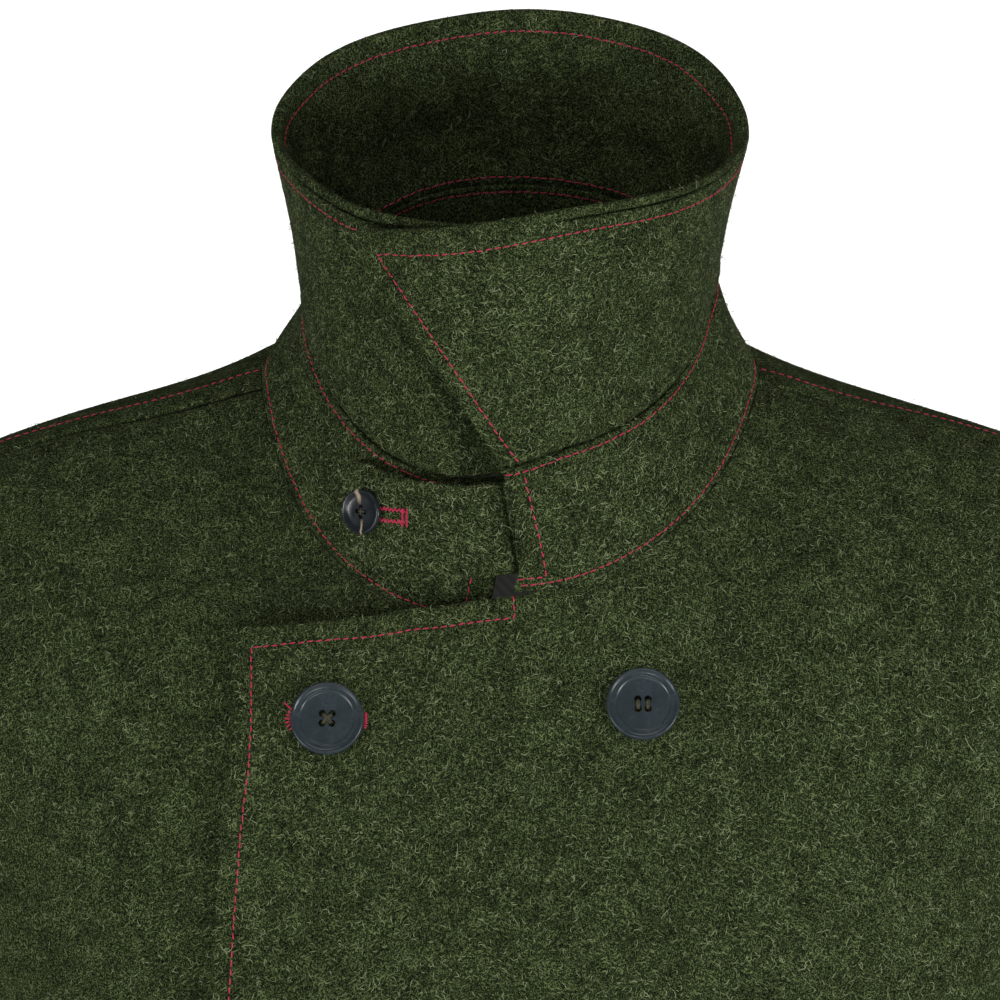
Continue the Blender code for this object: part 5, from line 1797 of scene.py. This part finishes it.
class JACKET_OT_nap(bpy.types.Operator):
    """Loose wool hairs of the raised nap"""
    bl_idname = "jacket.nap"
    bl_label = "Nap"

    def execute(self, context):
        cloth = context.scene.jacket_cloth
        material = shared_material("loose_wool_hair", fibre_material, cloth)
        draw = np.random.default_rng(7)
        sewn = np.concatenate(SEWN)
        stitches = KDTree(len(sewn))
        for index, place in enumerate(sewn):
            stitches.insert(place, index)
        stitches.balance()
        for node, outward, share, fade in NAP:
            grid = SHOWN[node]
            sides = np.cross(grid[:-1, 1:] - grid[:-1, :-1], grid[1:, :-1] - grid[:-1, :-1])
            weight = np.linalg.norm(sides, axis=-1)
            weight = weight * (NAP_BELOW + (1 - NAP_BELOW) * smoothstep(*fade, grid[:-1, :-1, 2]))
            count = int(cloth.hair_count * share)
            chosen = draw.choice(weight.size, count, p=weight.ravel() / weight.sum())
            rows, columns = np.unravel_index(chosen, weight.shape)
            rows = rows + draw.uniform(0, 1, count)
            columns = columns + draw.uniform(0, 1, count)
            root = sample_grid(grid, rows, columns)
            clear = np.array([stitches.find(place)[2] > STITCH_CLEAR for place in root])
            rows, columns, root = rows[clear], columns[clear], root[clear]
            normal = unit(sample_grid(grid_normals(grid) * outward, rows, columns))
            name = node + "_nap"
            add_piece(name, hairs_mesh(name, root, normal, cloth, draw), material)
        return {"FINISHED"}


class JACKET_OT_stage(bpy.types.Operator):
    """Pale floor, soft lights, white surround and the camera"""
    bl_idname = "jacket.stage"
    bl_label = "Stage"

    def execute(self, context):
        settings = context.scene.jacket_stage
        bm = bmesh.new()
        bmesh.ops.create_grid(bm, x_segments=8, y_segments=8, size=FLOOR_HALF)
        mesh = bpy.data.meshes.new("floor")
        bm.to_mesh(mesh)
        bm.free()
        floor = bpy.data.objects.new("floor", mesh)
        floor.location.z = CAD_BOX[0][2] - FLOOR_DROP
        context.scene.collection.objects.link(floor)
        material, tree, shader = new_material("matt_paper", Roughness=0.9, Specular_IOR_Level=0.2)
        at = add_node(tree, "ShaderNodeTexCoord", {}).outputs["Object"]
        tooth = add_node(tree, "ShaderNodeTexNoise", {"Vector": at, "Scale": 1 / (40 * MM)}).outputs[0]
        pale = add_node(tree, "ShaderNodeMix", {
            0: tooth, 6: (*[0.985 * part for part in settings.floor_colour], 1.0),
            7: (*settings.floor_colour, 1.0)}, data_type="RGBA").outputs[2]
        tree.links.new(pale, shader.inputs["Base Color"])
        mesh.materials.append(material)

        world = bpy.data.worlds.new("white_surround")
        world.use_nodes = True
        surround = world.node_tree.nodes["Background"]
        surround.inputs["Color"].default_value = (1.0, 1.0, 1.0, 1.0)
        surround.inputs["Strength"].default_value = settings.sky_strength
        context.scene.world = world
        context.scene.view_settings.view_transform = "Standard"

        # Name, place, aim, power, width and height, and spread in degrees of each light
        neck, floor_behind = (0.0, -0.05, 0.0), (0.0, 7.0, 0.0)
        lights = (
            ("softbox_left", (-2.0, -1.9, -0.34), JACKET_MIDDLE, settings.left_power, (1.4, 0.5), 180.0),
            ("softbox_right", (2.2, -1.6, -0.32), JACKET_MIDDLE, settings.right_power, (1.4, 0.5), 180.0),
            ("front_light", (0.0, -2.6, 0.42), neck, settings.front_power, (0.3, 0.3), 180.0),
            ("top_softbox", (0.0, -0.8, 2.4), (0.0, 0.0, 0.0), settings.top_power, (1.6, 1.0), 180.0),
            ("floor_light", (0.0, 7.0, 2.4), floor_behind, settings.floor_power, (5.0, 10.0), 70.0),
        )
        for name, place, aim, power, size, spread in lights:
            lamp = bpy.data.lights.new(name, "AREA")
            lamp.shape = "RECTANGLE"
            lamp.energy = power
            lamp.size, lamp.size_y = size
            lamp.spread = math.radians(spread)
            holder = bpy.data.objects.new(name, lamp)
            holder.location = place
            holder.rotation_euler = (Vector(aim) - Vector(place)).to_track_quat("-Z", "Y").to_euler()
            context.scene.collection.objects.link(holder)

        view = bpy.data.cameras.new("photo_camera")
        view.sensor_width = SENSOR
        view.lens = SENSOR * CAMERA_DISTANCE / CAMERA_FRAME
        view.clip_end = 100.0
        camera = bpy.data.objects.new("photo_camera", view)
        forward = Vector((0.0, math.cos(CAMERA_TILT), -math.sin(CAMERA_TILT)))
        camera.location = CAMERA_TARGET - forward * CAMERA_DISTANCE
        camera.rotation_euler = (math.pi / 2 - CAMERA_TILT, 0.0, 0.0)
        context.scene.collection.objects.link(camera)
        context.scene.camera = camera
        return {"FINISHED"}


STEPS = (JACKET_OT_body, JACKET_OT_sleeves, JACKET_OT_collar, JACKET_OT_tab, JACKET_OT_buttons,
         JACKET_OT_stitching, JACKET_OT_buttonholes, JACKET_OT_nap, JACKET_OT_stage)
GROUPS = {"jacket_cloth": JacketCloth, "jacket_stitching": JacketStitching,
          "jacket_buttons": JacketButtons, "jacket_stage": JacketStage}


class JACKET_PT_panel(bpy.types.Panel):
    """Sizes and colours of the jacket, and the steps that build it"""
    bl_idname = "JACKET_PT_panel"
    bl_label = "Loden Jacket"
    bl_space_type = "VIEW_3D"
    bl_region_type = "UI"
    bl_category = "Jacket"

    def draw(self, context):
        layout = self.layout
        for name, group in GROUPS.items():
            box = layout.box()
            for key in group.__annotations__:
                box.prop(getattr(context.scene, name), key)
        for step in STEPS:
            layout.operator(step.bl_idname)


def register():
    """Registers the settings, the steps and the panel."""
    for name, group in GROUPS.items():
        bpy.utils.register_class(group)
        setattr(bpy.types.Scene, name, PointerProperty(type=group))
    for step in STEPS + (JACKET_PT_panel,):
        bpy.utils.register_class(step)


def unregister():
    """Takes them away again."""
    for step in reversed(STEPS + (JACKET_PT_panel,)):
        bpy.utils.unregister_class(step)
    for name, group in GROUPS.items():
        delattr(bpy.types.Scene, name)
        bpy.utils.unregister_class(group)


def main():
    """Builds the jacket and its stage."""
    register()
    bpy.ops.jacket.body()
    bpy.ops.jacket.sleeves()
    bpy.ops.jacket.collar()
    bpy.ops.jacket.tab()
    bpy.ops.jacket.buttons()
    bpy.ops.jacket.stitching()
    bpy.ops.jacket.buttonholes()
    bpy.ops.jacket.nap()
    bpy.ops.jacket.stage()


if __name__ == "__main__":
    main()
